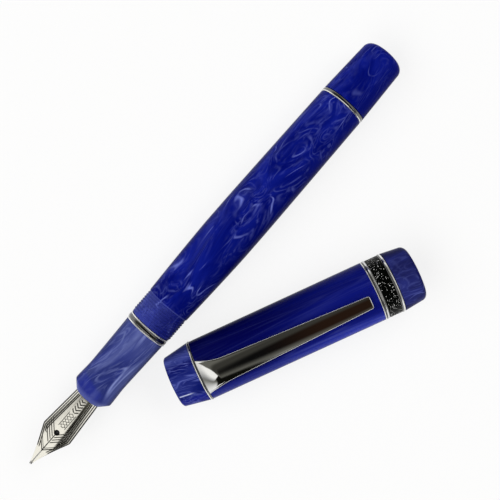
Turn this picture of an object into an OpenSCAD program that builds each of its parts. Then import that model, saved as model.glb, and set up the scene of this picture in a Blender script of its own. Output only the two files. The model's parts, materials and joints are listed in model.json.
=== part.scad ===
// Fountain pen lying uncapped on a table with its cap beside it.
// The pen's axis runs along +X from the nib tip to the tail, and the cap lies on its -Y side.
// The table top is z = 0. Lengths are in millimetres and angles in degrees.

/* [Nib and feed] */
// Length of nib that shows in front of the section
nib_reach = 21; // [18:0.5:24]
// Outside diameter of the nib's rolled root
nib_root_d = 6.5; // [6:0.1:7]
// Length of nib root that sits inside the section
nib_root_len = 9; // [7:0.5:11]
// Thickness of the nib sheet
nib_sheet = 0.34; // [0.25:0.01:0.45]
// Width across the nib's shoulders
nib_shoulder_w = 8.2; // [7.4:0.1:8.6]
// Distance of the shoulders behind the tip
nib_shoulder_pos = 9.7; // [9:0.1:12]
// Width of the tines at the tip
nib_tip_w = 0.45; // [0.4:0.05:0.9]
// Fall of the nib's ridge from the section to the tip
nib_drop = 2.85; // [2:0.05:3.2]
// Diameter of the sheet's curve at the tip, where it has opened out
nib_tip_curve_d = 17; // [12:0.5:20]
// Width of the slit between the tines
nib_slit_w = 0.14; // [0.08:0.01:0.2]
// Diameter of the breather hole
breather_d = 1.1; // [0.8:0.05:1.5]
// Distance of the breather hole behind the tip
breather_pos = 10.2; // [8:0.1:11]
// Diameter of the hard pellet at the tip
tipping_d = 0.64; // [0.5:0.02:1.1]
// Distance of the feed's point behind the nib tip
feed_setback = 4; // [3:0.1:6]
// Number of fin gaps in the feed's comb
feed_gaps = 11; // [6:1:12]
// Width of one fin gap
feed_gap_w = 0.36; // [0.2:0.02:0.45]
// Distance from one fin gap to the next
feed_pitch = 0.8; // [0.7:0.02:0.82]
// Diameter of the feed's core between the fins
feed_core_d = 3; // [2.4:0.1:3.6]

/* [Section] */
// Length of the grip section
section_len = 20.8; // [19:0.5:25]
// Diameter over the flared lip beside the nib
section_lip_d = 10.58; // [10.2:0.1:11.4]
// Length of the bevelled nose in front of the lip
section_nose_len = 2; // [1.5:0.1:3]
// Fall of the bevelled nose from the lip to its front face
section_nose_fall = 1.8; // [1:0.1:1.9]
// Diameter at the waist of the grip
section_waist_d = 10.14; // [9.8:0.1:10.6]
// Distance of the waist behind the front face
section_waist_pos = 7.2; // [5:0.2:10]
// Diameter at the rear of the section
section_rear_d = 10.8; // [10.4:0.1:11.4]
// Thickness of the wall between the feed and the converter
section_web = 1.6; // [1:0.1:2.5]
// Diameter of the nipple that the converter plugs on to
nipple_d = 3.8; // [3.2:0.1:4.2]
// Length of the nipple
nipple_len = 4.6; // [3:0.1:6]
// Diameter of the ink channel through the nipple
ink_channel_d = 1.8; // [1:0.1:2.2]
// Width of the polished ring behind the section
section_ring_w = 1.8; // [1:0.1:2.4]
// Wall of the threaded tenon
tenon_wall = 0.6; // [0.4:0.05:0.8]
// Length of the tenon inside the section
tenon_seat = 5; // [4:0.5:7]
// Length of the tenon that reaches into the barrel
tenon_reach = 8; // [7.6:0.2:9]
// Thickness of the sealing ring's cord
seal_cord_d = 0.66; // [0.5:0.02:0.8]

/* [Barrel] */
// Length of the barrel
barrel_len = 69; // [66:0.5:80]
// Diameter of the cap thread's land
thread_d = 11.1; // [11:0.05:11.4]
// Length of the cap thread's land
thread_len = 6.6; // [5:0.2:10]
// Diameter where the barrel swells up behind the thread
shoulder_d = 11.44; // [11.4:0.02:11.8]
// Largest diameter of the barrel
belly_d = 12.7; // [12:0.1:14]
// Distance of the largest diameter behind the barrel's mouth
belly_pos = 27.4; // [22:0.2:32]
// Length of barrel that keeps the largest diameter
belly_len = 7.2; // [5:0.2:10]
// Diameter at the rear of the barrel
barrel_rear_d = 11.94; // [11.4:0.1:12.4]
// Thickness of the barrel's rear wall
barrel_end_wall = 5; // [4:0.2:6]
// Wall of the threaded bush in the barrel's mouth
bush_wall = 0.4; // [0.3:0.05:0.5]
// Length of the threaded bush
bush_len = 8.6; // [7.8:0.2:10]
// Width of the polished ring in front of the tail cap
tail_ring_w = 1.2; // [0.8:0.1:1.8]
// Length of the tail cap
tail_len = 15.2; // [13:0.2:18]
// Diameter of the tail cap just before its rounded end
tail_end_d = 10.9; // [10:0.1:11.6]
// Radius of the tail cap's rounded end
tail_round = 2; // [1:0.1:3]
// Diameter of the stud that joins the tail cap to the barrel
stud_d = 5; // [4:0.1:6]
// Length of the stud in each of the two pieces
stud_reach = 4.2; // [3:0.1:4.4]

/* [Converter] */
// Outside diameter of the ink tube
ink_tube_d = 7.2; // [7:0.05:7.4]
// Wall of the ink tube
ink_tube_wall = 0.65; // [0.5:0.05:0.8]
// Length of the ink tube
ink_tube_len = 42; // [41:0.5:46]
// Length of the tube's narrow mouth
ink_mouth_len = 5; // [4.8:0.1:6]
// Diameter of the loose mixing ball
ball_d = 2; // [1.6:0.1:2.2]
// Travel of the piston
piston_travel = 16; // [12:0.5:16.5]
// Length of the piston's seal
piston_len = 5.6; // [4:0.2:6]
// Diameter of the piston rod
rod_d = 2.6; // [2.2:0.1:3]
// Width of the rod across its two flats
rod_flat_w = 1.9; // [1.6:0.05:2.1]
// Wall of the metal sleeve round the tube's rear end
sleeve_wall = 0.25; // [0.2:0.05:0.35]
// Length of sleeve that grips the tube
sleeve_grip = 12; // [9:0.5:13]
// Length of the guide that keeps the rod from turning
guide_len = 4; // [3:0.2:5]
// Diameter of the turning knob
knob_d = 6.8; // [6.2:0.1:7.2]
// Number of grip flutes on the knob
knob_flutes = 16; // [8:1:24]
// Rod length that stays in the knob at the end of the travel
rod_engage = 2.6; // [2:0.2:4]
// Closed end of the knob behind the rod
knob_end = 2.6; // [1.5:0.1:4]

/* [Cap] */
// Length of the finial
finial_len = 7; // [5:0.1:9]
// Diameter of the finial's end
finial_end_d = 12.48; // [11:0.1:14]
// Rise of the finial's domed end
finial_dome = 0.5; // [0.2:0.1:1]
// Width of the clip ring
clip_ring_w = 0.7; // [0.5:0.1:1.5]
// Outside diameter of the clip ring and the band's rings, which the cap lies on
trim_d = 14.9; // [14.9:0.05:15.6]
// Diameter of the cap tube at the clip
tube_front_d = 14.64; // [14.4:0.02:14.7]
// Diameter of the cap tube at the band
tube_rear_d = 14.76; // [14.6:0.02:14.8]
// Length of cap tube between the clip ring and the band
tube_len = 44.5; // [42:0.5:52]
// Width of the band's double ring on the tube side
upper_ring_w = 1.2; // [0.9:0.1:1.8]
// Width of the band's textured sleeve
band_w = 3.1; // [2:0.1:5]
// Depth of the textured field below the band's rims
band_recess = 0.12; // [0.05:0.01:0.2]
// Width of the band's plain ring on the mouth side
lower_ring_w = 1; // [0.6:0.1:1.6]
// Length of the lip beyond the band
lip_len = 5.8; // [5:0.1:9]
// Diameter of the lip just before its rounded end
lip_end_d = 13.8; // [13.4:0.1:14.4]
// Radius of the lip's rounded end
lip_round = 1.5; // [1:0.1:1.8]
// Width of the flat rim round the mouth
lip_rim = 0.15; // [0.1:0.05:0.3]
// Radial room between the cap's bore and the barrel's shoulder
cap_fit = 0.13; // [0.05:0.01:0.2]
// Wall of the inner cap
liner_wall = 0.45; // [0.3:0.05:0.55]
// Length of the inner cap
liner_len = 25.2; // [16:0.2:34]
// Thickness of the inner cap's closed end
liner_end = 3.2; // [2.6:0.1:4]
// Wall of the cap tube's tenon under the band and lip
cap_tenon_wall = 0.75; // [0.5:0.05:0.9]
// Diameter of the finial's stud
finial_stud_d = 4; // [3:0.1:5]
// Length of the finial's stud in the finial
finial_stud_seat = 4; // [3:0.1:4.6]
// Length of the finial's stud in the inner cap
finial_stud_reach = 2; // [1.5:0.1:2.2]

/* [Clip] */
// Length of the clip from its root to its tip
clip_len = 42.5; // [38:0.5:44]
// Width of the clip's head where it meets the clip ring
clip_head_w = 8.6; // [7:0.1:9]
// Width of the clip arm at its root, without the head's flare
clip_arm_w = 6.3; // [5:0.1:7]
// Width of the clip at its tip
clip_tip_w = 3.1; // [2.6:0.1:4]
// Length over which the head flares out
clip_flare_len = 7; // [5:0.2:10]
// Length over which the head ramps up from the clip ring
clip_ramp_len = 5; // [4:0.2:7]
// Thickness of the clip at its root
clip_root_t = 0.5; // [0.4:0.05:0.7]
// Thickness of the clip arm
clip_arm_t = 0.75; // [0.5:0.05:1]
// Pocket gap between the clip arm and the cap tube
clip_gap = 1.15; // [0.8:0.05:1.6]
// Fall of the arm from the head to the tip
clip_fall = 0.25; // [0:0.05:0.4]
// Radius of the arm's crowned top
clip_crown_r = 5; // [4:0.1:8]
// Radius of the tip's rounded corners
clip_corner_r = 0.5; // [0.3:0.1:1.2]
// Bevel along the clip's edges
clip_bevel = 0.1; // [0.05:0.01:0.2]
// Length of the pad under the tip
clip_pad_len = 4.4; // [3:0.1:6]
// Room between the pad and the cap tube
clip_pad_room = 0.12; // [0.08:0.01:0.3]

/* [Layout] */
// Angle between the cap's axis and the pen's axis
cap_turn = 24.27; // [15:0.1:40]
// Distance of the finial's end behind the nib tip, along the pen
cap_along = 36.8; // [30:0.2:45]
// Gap between the finial's corner and the line of the barrel's side
cap_gap = 1.1; // [0.5:0.1:6]
// Roll of the cap about its own axis, which leans the clip away from the pen
cap_roll = 9; // [0:0.5:12]

/* [Fits] */
// Radial room of pieces that are pressed, glued or screwed together for good
seat_fit = 0.02; // [0.01:0.005:0.04]
// Radial room of pieces that turn or slide in each other
run_fit = 0.06; // [0.03:0.01:0.09]
// Room between faces that meet end to end on moving pieces
end_fit = 0.08; // [0.04:0.01:0.12]
// Height of the polished rings over the resin beside them
ring_proud = 0.06; // [0.03:0.01:0.1]

/* [Hidden] */
$fn = 96;

// Colours of the finishes
resin_colour = [0.10, 0.12, 0.55];
pale_resin_colour = [0.30, 0.33, 0.68];
chrome_colour = [0.80, 0.80, 0.82];
dark_metal_colour = [0.22, 0.22, 0.22];
brass_colour = [0.72, 0.58, 0.30];
black_colour = [0.06, 0.06, 0.07];
clear_colour = [0.85, 0.88, 0.92, 0.5];

// Stations along the pen, measured from the nib tip
section_x = nib_reach;
section_ring_x = section_x + section_len;
barrel_x = section_ring_x + section_ring_w;
tail_ring_x = barrel_x + barrel_len;
tail_x = tail_ring_x + tail_ring_w;
pen_len = tail_x + tail_len;

// Nib and feed
nib_root_r = nib_root_d / 2;
nib_tip_curve_r = nib_tip_curve_d / 2;
nib_flare = nib_tip_curve_r - nib_root_r;
nib_axis_fall = nib_drop + nib_flare;
nib_tilt = atan(nib_axis_fall / nib_reach);
nib_cone_len = norm([nib_reach, nib_axis_fall]);
nib_ridge_curve = 1.08;
nib_end_x = nib_reach + nib_root_len;
nib_tine_x = tipping_d / 2 + seat_fit;
nib_columns = 16;
nib_shoulder_blend = 0.07;
nib_edge_curve = 1.28;
nib_steps = 28;
nib_cut_h = 4 * nib_tip_curve_d;
feed_r = nib_root_r - nib_sheet - seat_fit;
feed_width_share = 0.72;
feed_belly_pos = 9;
feed_point_t = nib_sheet;

// Section, tenon and seal
web_x = section_x + nib_root_len + end_fit;
socket_x = web_x + section_web;
ink_tube_r = ink_tube_d / 2;
socket_r = ink_tube_r + run_fit;
tenon_r = socket_r + tenon_wall;
tenon_x = section_ring_x - tenon_seat;
tenon_end_x = barrel_x + tenon_reach;
tenon_hole_r = tenon_r + run_fit;
seal_recess = seal_cord_d + 2 * end_fit;
seal_ring_r = tenon_hole_r + seal_cord_d / 2;
section_ring_r = max(section_rear_d, thread_d) / 2 + ring_proud;
section_nose_curve = 1.12;

// Converter
ink_tube_x = socket_x + end_fit;
ink_tube_end_x = ink_tube_x + ink_tube_len;
ink_bore_r = ink_tube_r - ink_tube_wall;
ink_room_x = ink_tube_x + ink_mouth_len;
ball_x = ink_room_x + ball_d / 2 + end_fit;
piston_x = ball_x + ball_d / 2 + end_fit + piston_travel;
piston_end_x = piston_x + piston_len;
sleeve_x = ink_tube_end_x - sleeve_grip;
sleeve_end_x = ink_tube_end_x + guide_len;
sleeve_r = ink_tube_r + seat_fit + sleeve_wall;
knob_x = sleeve_end_x + end_fit;
rod_end_x = knob_x + rod_engage + piston_travel;
knob_end_x = rod_end_x + end_fit + knob_end;
knob_bore_r = rod_d / 2 + run_fit;
barrel_bore_room = 0.35;

// Barrel and tail
belly_r = belly_d / 2;
barrel_bore_r = max(sleeve_r + barrel_bore_room, tenon_hole_r - bush_wall);
bush_x = barrel_x + seal_recess;
bush_r = max(tenon_hole_r, barrel_bore_r) + bush_wall;
seal_pocket_r = max(seal_ring_r + seal_cord_d / 2 + run_fit, bush_r + seat_fit);
barrel_bore_end_x = tail_ring_x - barrel_end_wall;
barrel_front_curve = 1.3;
barrel_rear_curve = 1.15;
edge_break = 0.15;
tail_ring_r = barrel_rear_d / 2 + ring_proud;
stud_r = stud_d / 2;

// Stations along the cap, measured from the finial's end
clip_ring_x = finial_len;
tube_x = clip_ring_x + clip_ring_w;
upper_ring_x = tube_x + tube_len;
band_x = upper_ring_x + upper_ring_w;
lower_ring_x = band_x + band_w;
lip_x = lower_ring_x + lower_ring_w;
cap_len = lip_x + lip_len;
cap_bore_r = shoulder_d / 2 + cap_fit;
cap_tenon_r = cap_bore_r + cap_tenon_wall;
cap_tenon_end_x = cap_len - lip_round - end_fit;
liner_r = cap_bore_r + liner_wall;
liner_x = tube_x + end_fit;
liner_end_x = liner_x + liner_len;
trim_r = trim_d / 2;
band_r = trim_r - ring_proud;
finial_end_r = finial_end_d / 2;
finial_bevel = 0.3;
finial_stud_r = finial_stud_d / 2;
lip_round_r0 = lip_end_d / 2 - lip_round;
lip_rim_angle = asin((cap_bore_r + lip_rim - lip_round_r0) / lip_round);
lip_round_x = cap_len - lip_round * cos(lip_rim_angle);
ring_edge = 0.25;

// Points along curved outlines
profile_steps = 10;
round_steps = 8;
edge_steps = 5;

// Clip
clip_x = tube_x + end_fit;
clip_tip_x = clip_x + clip_len;
clip_root_top = tube_front_d / 2 + end_fit + clip_root_t;
clip_arm_top = tube_rear_d / 2 + clip_gap + clip_arm_t;
clip_columns = 8;
clip_head_rows = 12;
clip_arm_rows = 8;
clip_pad_rows = 8;
clip_tip_rows = 6;
clip_ring_points = 2 * clip_columns + 6;
clip_tip_drop = 0.2;

// Layout: the row is centred over the origin, with both axes level
pen_z = belly_r;
cap_z = trim_r;
finial_corner_x = finial_dome;
cap_y = finial_corner_x * sin(cap_turn) - finial_end_r * cos(cap_turn) - belly_r - cap_gap;
lip_reach = lip_round_x * sin(cap_turn) + lip_round_r0 * cos(cap_turn) + lip_round;
pen_y = (lip_reach - cap_y - belly_r) / 2;

// Points on an elliptical arc about [x, r], from angle a0 to a1
function arc(x, r, len_x, len_r, a0, a1, steps) =
  [for (i = [0:steps]) let (a = a0 + (a1 - a0) * i / steps) [x + len_x * cos(a), r + len_r * sin(a)]];

function mix(a, b, t) = a + (b - a) * t;
function clamp01(t) = min(1, max(0, t));
function ease(t) = let (c = clamp01(t)) c * c * (3 - 2 * c);

// Smooth smaller one of two lengths, rounded off over the length k
function soft_min(a, b, k) = -k * ln(exp(-a / k) + exp(-b / k));

module pen_at() {
  translate([-pen_len / 2, pen_y, pen_z]) children();
}

module cap_at() {
  translate([cap_along - pen_len / 2, pen_y + cap_y, cap_z])
    rotate([0, 0, -cap_turn]) rotate([cap_roll, 0, 0]) children();
}

// Solid of revolution about the X axis from a closed outline of [x, radius] points
module lathe(outline) {
  rotate([0, 90, 0]) rotate_extrude() polygon([for (p = outline) [p[1], p[0]]]);
}

module sleeve(x0, x1, r_out, r_in) {
  lathe([[x0, r_in], [x0, r_out], [x1, r_out], [x1, r_in]]);
}

module bar(x0, x1, r) {
  translate([x0, 0, 0]) rotate([0, 90, 0]) cylinder(h = x1 - x0, r = r);
}

// Ring with a rounded outer edge
module rounded_ring(x0, x1, r_out, r_in, edge) {
  lathe(concat(
    [[x0, r_in]],
    arc(x0 + edge, r_out - edge, edge, edge, 180, 90, edge_steps),
    arc(x1 - edge, r_out - edge, edge, edge, 90, 0, edge_steps),
    [[x1, r_in]]
  ));
}

// Two triangles for a four-cornered face
function two(a, b, c, d) = [[a, b, c], [a, c, d]];

// Faces between the rings of a loft, with n points in each ring
function loft_sides(rows, n) = [for (i = [0:rows - 2], j = [0:n - 1])
  each two(i * n + j, i * n + (j + 1) % n, (i + 1) * n + (j + 1) % n, (i + 1) * n + j)];
function turned(faces) = [for (f = faces) [f[2], f[1], f[0]]];

// Half the nib's width, seen from above, at a distance behind the tip
function nib_front_half(x) =
  (nib_tip_w + (nib_shoulder_w - nib_tip_w) * pow(x / nib_shoulder_pos, nib_edge_curve)) / 2;
function nib_rear_half(x) =
  mix(nib_shoulder_w / 2, nib_root_r, (x - nib_shoulder_pos) / (nib_reach - nib_shoulder_pos));
function nib_half(x) = x >= nib_reach ? nib_root_r :
  soft_min(nib_front_half(x), nib_rear_half(x), nib_shoulder_blend);

// Height of the nib's outer ridge, and radius of its curve there
function nib_ridge(x) = nib_root_r - nib_drop * pow(max(0, 1 - x / nib_reach), nib_ridge_curve);
function nib_curve_r(x) = mix(nib_tip_curve_r, nib_root_r, min(1, x / nib_reach));

// One cross-section of the nib's sheet: its outer curve and back along its inner one
function nib_section(x) =
  let (
    r = nib_curve_r(x),
    z = nib_ridge(x) - r,
    span = asin(min(1, nib_half(x) / r)),
    m = nib_columns,
    curve = [for (j = [0:m]) mix(-span, span, j / m)]
  )
  concat(
    [for (a = curve) [x, r * sin(a), z + r * cos(a)]],
    [for (j = [m:-1:0]) [x, (r - nib_sheet) * sin(curve[j]), z + (r - nib_sheet) * cos(curve[j])]]
  );

// Flat end of the nib's sheet
function nib_end(first) =
  let (last = first + 2 * nib_columns + 1)
  [for (j = [0:nib_columns - 1]) each two(first + j, first + j + 1, last - j - 1, last - j)];

module nib_sheet_loft() {
  xs = concat([for (i = [0:nib_steps]) mix(nib_tine_x, nib_reach, i / nib_steps)], [nib_end_x]);
  n = 2 * nib_columns + 2;
  rows = len(xs);
  polyhedron(
    points = [for (x = xs) each nib_section(x)],
    faces = concat(loft_sides(rows, n), turned(nib_end(0)), nib_end((rows - 1) * n)),
    convexity = 6
  );
}

// Cone under the nib's sheet that the feed's top follows
module feed_cone() {
  inside = nib_sheet + seat_fit;
  translate([nib_reach, 0, 0]) rotate([0, -90 - nib_tilt, 0])
    cylinder(h = nib_cone_len, r1 = nib_root_r - inside, r2 = nib_tip_curve_r - inside);
}

module nib_cuts() {
  translate([-tipping_d, -nib_slit_w / 2, -nib_cut_h / 2])
    cube([breather_pos + tipping_d, nib_slit_w, nib_cut_h]);
  translate([breather_pos, 0, 0]) cylinder(h = nib_cut_h, d = breather_d);
}

module nib() {
  color(chrome_colour) pen_at() difference() {
    nib_sheet_loft();
    nib_cuts();
  }
}

// Pellet in front of the tines and under their ends
module nib_tipping() {
  end_x = tipping_d / 2;
  under_z = nib_ridge(end_x) - nib_sheet - 3 * seat_fit;
  color(chrome_colour) pen_at() difference() {
    translate([end_x, 0, nib_ridge(end_x) - nib_sheet / 2]) sphere(d = tipping_d);
    translate([end_x, -tipping_d, under_z]) cube(2 * tipping_d);
    nib_cuts();
  }
}

// Side view of the feed: a point under the tines, a rounded belly and a straight stem
module feed_side() {
  point_z = nib_ridge(feed_setback) - nib_sheet - feed_point_t;
  belly_x = feed_setback + feed_belly_pos;
  polygon(concat(
    [[nib_end_x, feed_r], [feed_setback, feed_r]],
    arc(belly_x, point_z, feed_belly_pos, feed_r + point_z, 180, 270, round_steps),
    [[nib_end_x, -feed_r]]
  ));
}

module feed_plan() {
  xs = [for (i = [0:nib_steps]) mix(feed_setback, nib_reach, i / nib_steps)];
  function half(x) = min(feed_r, feed_width_share * nib_half(x));
  polygon(concat([for (x = xs) [x, half(x)]], [for (i = [nib_steps:-1:0]) [xs[i], -half(xs[i])]]));
}

module feed() {
  first_gap = nib_reach - feed_gaps * feed_pitch;
  color(black_colour) pen_at() difference() {
    intersection() {
      union() {
        intersection() {
          feed_cone();
          bar(0, nib_reach, feed_r);
          translate([0, 0, -nib_cut_h / 2]) linear_extrude(nib_cut_h) feed_plan();
        }
        bar(nib_reach - seat_fit, nib_end_x, feed_r);
      }
      translate([0, nib_root_d, 0]) rotate([90, 0, 0]) linear_extrude(2 * nib_root_d) feed_side();
    }
    difference() {
      for (i = [0:feed_gaps - 1])
        translate([first_gap + i * feed_pitch, -nib_root_d, -nib_root_d])
          cube([feed_gap_w, 2 * nib_root_d, nib_root_d]);
      bar(0, nib_reach, feed_core_d / 2);
    }
  }
}

// Bore of the section: round for the feed, wider in its upper half for the nib's root
module nib_bore() {
  start = section_x - end_fit;
  bar(start, web_x, feed_r + seat_fit);
  intersection() {
    bar(start, web_x, nib_root_r + seat_fit);
    translate([start, -nib_root_d, -seat_fit]) cube([web_x - start, 2 * nib_root_d, nib_root_d]);
  }
}

// Outside of the section from its nose to its rear
function section_r(x) = x < section_waist_pos ?
  mix(section_lip_d, section_waist_d,
    ease((x - section_nose_len) / (section_waist_pos - section_nose_len))) / 2 :
  mix(section_waist_d, section_rear_d,
    pow((x - section_waist_pos) / (section_len - section_waist_pos), barrel_rear_curve)) / 2;

module section() {
  lip_r = section_lip_d / 2;
  color(pale_resin_colour) pen_at() difference() {
    lathe(concat(
      [[section_x, 0]],
      [for (i = [0:round_steps])
        let (t = i / round_steps)
        [section_x + section_nose_len * t, lip_r - section_nose_fall * pow(1 - t, section_nose_curve)]],
      [for (i = [1:2 * profile_steps])
        let (x = mix(section_nose_len, section_len, i / (2 * profile_steps)))
        [section_x + x, section_r(x)]],
      [[section_ring_x, 0]]
    ));
    nib_bore();
    bar(web_x - end_fit, socket_x + nipple_len, ink_channel_d / 2);
    sleeve(socket_x, socket_x + nipple_len, socket_r, nipple_d / 2);
    bar(socket_x + nipple_len, section_ring_x + end_fit, socket_r);
    bar(tenon_x, section_ring_x + end_fit, tenon_r + seat_fit);
  }
}

module section_tenon() {
  color(brass_colour) pen_at() lathe([
    [tenon_x, socket_r],
    [tenon_x, tenon_r],
    [tenon_end_x - tenon_wall / 2, tenon_r],
    [tenon_end_x, tenon_r - tenon_wall / 2],
    [tenon_end_x, socket_r]
  ]);
}

module section_ring() {
  color(chrome_colour) pen_at()
    rounded_ring(section_ring_x, barrel_x - end_fit, section_ring_r, tenon_r + run_fit, ring_edge);
}

module section_seal() {
  color(black_colour) pen_at() translate([barrel_x + seal_recess / 2, 0, 0]) rotate([0, 90, 0])
    rotate_extrude() translate([seal_ring_r, 0]) circle(d = seal_cord_d, $fn = 32);
}

module ink_tube() {
  color(clear_colour) pen_at() lathe([
    [ink_tube_x, nipple_d / 2 + seat_fit],
    [ink_tube_x, ink_tube_r - edge_break],
    [ink_tube_x + edge_break, ink_tube_r],
    [ink_tube_end_x, ink_tube_r],
    [ink_tube_end_x, ink_bore_r],
    [ink_room_x, ink_bore_r],
    [ink_room_x, nipple_d / 2 + seat_fit]
  ]);
}

module ink_tube_sleeve() {
  bead = sleeve_wall;
  color(chrome_colour) pen_at() lathe([
    [sleeve_x, ink_tube_r + seat_fit],
    [sleeve_x, sleeve_r + bead / 2],
    [sleeve_x + 2 * bead, sleeve_r + bead / 2],
    [sleeve_x + 3 * bead, sleeve_r],
    [sleeve_end_x, sleeve_r],
    [sleeve_end_x, ink_tube_r + seat_fit]
  ]);
}

// Round bar with two flats, or the hole for it
module flatted_bar(x0, x1, r, flat_w) {
  intersection() {
    bar(x0, x1, r);
    translate([x0, -flat_w / 2, -r]) cube([x1 - x0, flat_w, 2 * r]);
  }
}

module rod_guide() {
  color(black_colour) pen_at() difference() {
    bar(ink_tube_end_x, sleeve_end_x, ink_tube_r);
    flatted_bar(ink_tube_end_x - end_fit, sleeve_end_x + end_fit,
      rod_d / 2 + run_fit, rod_flat_w + 2 * run_fit);
  }
}

module converter_knob() {
  flute_r = 0.42;
  collar_w = 2;
  edge = 2 * edge_break;
  knob_r = knob_d / 2;
  color(black_colour) pen_at() difference() {
    lathe(concat(
      [[knob_x, 0], [knob_x, knob_r]],
      arc(knob_end_x - edge, knob_r - edge, edge, edge, 90, 0, edge_steps),
      [[knob_end_x, 0]]
    ));
    bar(knob_x - end_fit, rod_end_x + end_fit, knob_bore_r);
    for (i = [0:knob_flutes - 1])
      rotate([i * 360 / knob_flutes, 0, 0]) translate([0, 0, knob_r + flute_r / 2])
        bar(knob_x + collar_w, knob_end_x + end_fit, flute_r);
  }
}

module piston_rod() {
  color(black_colour) pen_at() flatted_bar(piston_end_x, rod_end_x, rod_d / 2, rod_flat_w);
}

// Seal with a lip at each end and a thinner waist
module piston_seal() {
  lip_r = ink_bore_r - run_fit;
  waist_r = lip_r - ink_tube_wall;
  lip_w = piston_len / 4;
  color(black_colour) pen_at() lathe([
    [piston_x, 0],
    [piston_x, waist_r],
    [piston_x + lip_w / 2, lip_r],
    [piston_x + lip_w, lip_r],
    [piston_x + 1.5 * lip_w, waist_r],
    [piston_end_x - 1.5 * lip_w, waist_r],
    [piston_end_x - lip_w, lip_r],
    [piston_end_x - lip_w / 2, lip_r],
    [piston_end_x, waist_r],
    [piston_end_x, 0]
  ]);
}

module mixing_ball() {
  color(chrome_colour) pen_at()
    translate([ball_x, 0, ball_d / 2 + end_fit - ink_bore_r]) sphere(d = ball_d);
}

// Outside of the barrel behind its thread, at a distance from its mouth
function barrel_r(x) = x < belly_pos ?
  mix(belly_d, shoulder_d, pow(clamp01((belly_pos - x) / (belly_pos - thread_len)), barrel_front_curve)) / 2 :
  mix(belly_d, barrel_rear_d,
    pow(clamp01((x - belly_pos - belly_len) / (barrel_len - belly_pos - belly_len)), barrel_rear_curve)) / 2;

module barrel() {
  step_w = (shoulder_d - thread_d) / 2;
  color(resin_colour) pen_at() difference() {
    lathe(concat(
      [[barrel_x, 0], [barrel_x, thread_d / 2 - edge_break], [barrel_x + edge_break, thread_d / 2],
        [barrel_x + thread_len - step_w, thread_d / 2]],
      [for (i = [0:profile_steps])
        let (x = mix(thread_len, belly_pos, i / profile_steps)) [barrel_x + x, barrel_r(x)]],
      [for (i = [0:profile_steps])
        let (x = mix(belly_pos + belly_len, barrel_len, i / profile_steps)) [barrel_x + x, barrel_r(x)]],
      [[tail_ring_x, 0]]
    ));
    bar(barrel_x - end_fit, bush_x, seal_pocket_r);
    bar(bush_x - end_fit, bush_x + bush_len, bush_r + seat_fit);
    bar(bush_x, barrel_bore_end_x, barrel_bore_r);
    bar(tail_ring_x - stud_reach, tail_ring_x + end_fit, stud_r + seat_fit);
  }
}

module barrel_bush() {
  color(brass_colour) pen_at() sleeve(bush_x, bush_x + bush_len, bush_r, tenon_hole_r);
}

module tail_ring() {
  color(chrome_colour) pen_at()
    rounded_ring(tail_ring_x, tail_x, tail_ring_r, stud_r + seat_fit, ring_edge);
}

module tail_cap() {
  end_r = tail_end_d / 2;
  color(resin_colour) pen_at() difference() {
    lathe(concat(
      [[tail_x, 0], [tail_x, barrel_rear_d / 2]],
      arc(pen_len - tail_round, end_r - tail_round, tail_round, tail_round, 90, 0, profile_steps),
      [[pen_len, 0]]
    ));
    bar(tail_x - end_fit, tail_x + stud_reach, stud_r + seat_fit);
  }
}

module tail_stud() {
  color(brass_colour) pen_at() bar(tail_ring_x - stud_reach, tail_x + stud_reach, stud_r);
}

module cap_tube() {
  color(resin_colour) cap_at() lathe([
    [tube_x, liner_r + seat_fit],
    [tube_x, tube_front_d / 2],
    [upper_ring_x, tube_rear_d / 2],
    [upper_ring_x, cap_tenon_r],
    [cap_tenon_end_x, cap_tenon_r],
    [cap_tenon_end_x, cap_bore_r],
    [liner_end_x + end_fit, cap_bore_r],
    [liner_end_x + end_fit, liner_r + seat_fit]
  ]);
}

module inner_cap() {
  color(black_colour) cap_at() difference() {
    bar(liner_x, liner_end_x, liner_r);
    bar(liner_x + liner_end, liner_end_x + end_fit, cap_bore_r);
    bar(liner_x - end_fit, tube_x + finial_stud_reach + end_fit, finial_stud_r + seat_fit);
  }
}

module clip_ring() {
  color(chrome_colour) cap_at()
    rounded_ring(clip_ring_x, tube_x, trim_r, finial_stud_r + seat_fit, ring_edge);
}

module finial() {
  base_r = tube_front_d / 2;
  color(resin_colour) cap_at() difference() {
    lathe(concat(
      [for (i = [0:round_steps])
        let (t = i / round_steps) [finial_dome * t * t, (finial_end_r - finial_bevel) * t]],
      [[finial_dome + finial_bevel, finial_end_r], [clip_ring_x, base_r], [clip_ring_x, 0]]
    ));
    bar(clip_ring_x - finial_stud_seat, clip_ring_x + end_fit, finial_stud_r + seat_fit);
  }
}

module finial_stud() {
  color(brass_colour) cap_at()
    bar(clip_ring_x - finial_stud_seat, tube_x + finial_stud_reach, finial_stud_r);
}

// Thin bead and thick bead side by side
module band_upper_ring() {
  thin_w = upper_ring_w / 3;
  color(chrome_colour) cap_at() lathe(concat(
    [[upper_ring_x, cap_tenon_r + seat_fit]],
    arc(upper_ring_x + thin_w / 2, band_r, thin_w / 2, trim_r - band_r, 180, 0, round_steps),
    arc(band_x - thin_w, band_r, thin_w, trim_r - band_r, 180, 0, round_steps),
    [[band_x, cap_tenon_r + seat_fit]]
  ));
}

module cap_band() {
  field_r = band_r - band_recess;
  color(dark_metal_colour) cap_at() lathe([
    [band_x, cap_tenon_r + seat_fit],
    [band_x, band_r],
    [band_x + band_recess, band_r],
    [band_x + 2 * band_recess, field_r],
    [lower_ring_x - 2 * band_recess, field_r],
    [lower_ring_x - band_recess, band_r],
    [lower_ring_x, band_r],
    [lower_ring_x, cap_tenon_r + seat_fit]
  ]);
}

module band_lower_ring() {
  color(chrome_colour) cap_at()
    rounded_ring(lower_ring_x, lip_x, trim_r, cap_tenon_r + seat_fit, ring_edge);
}

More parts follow.
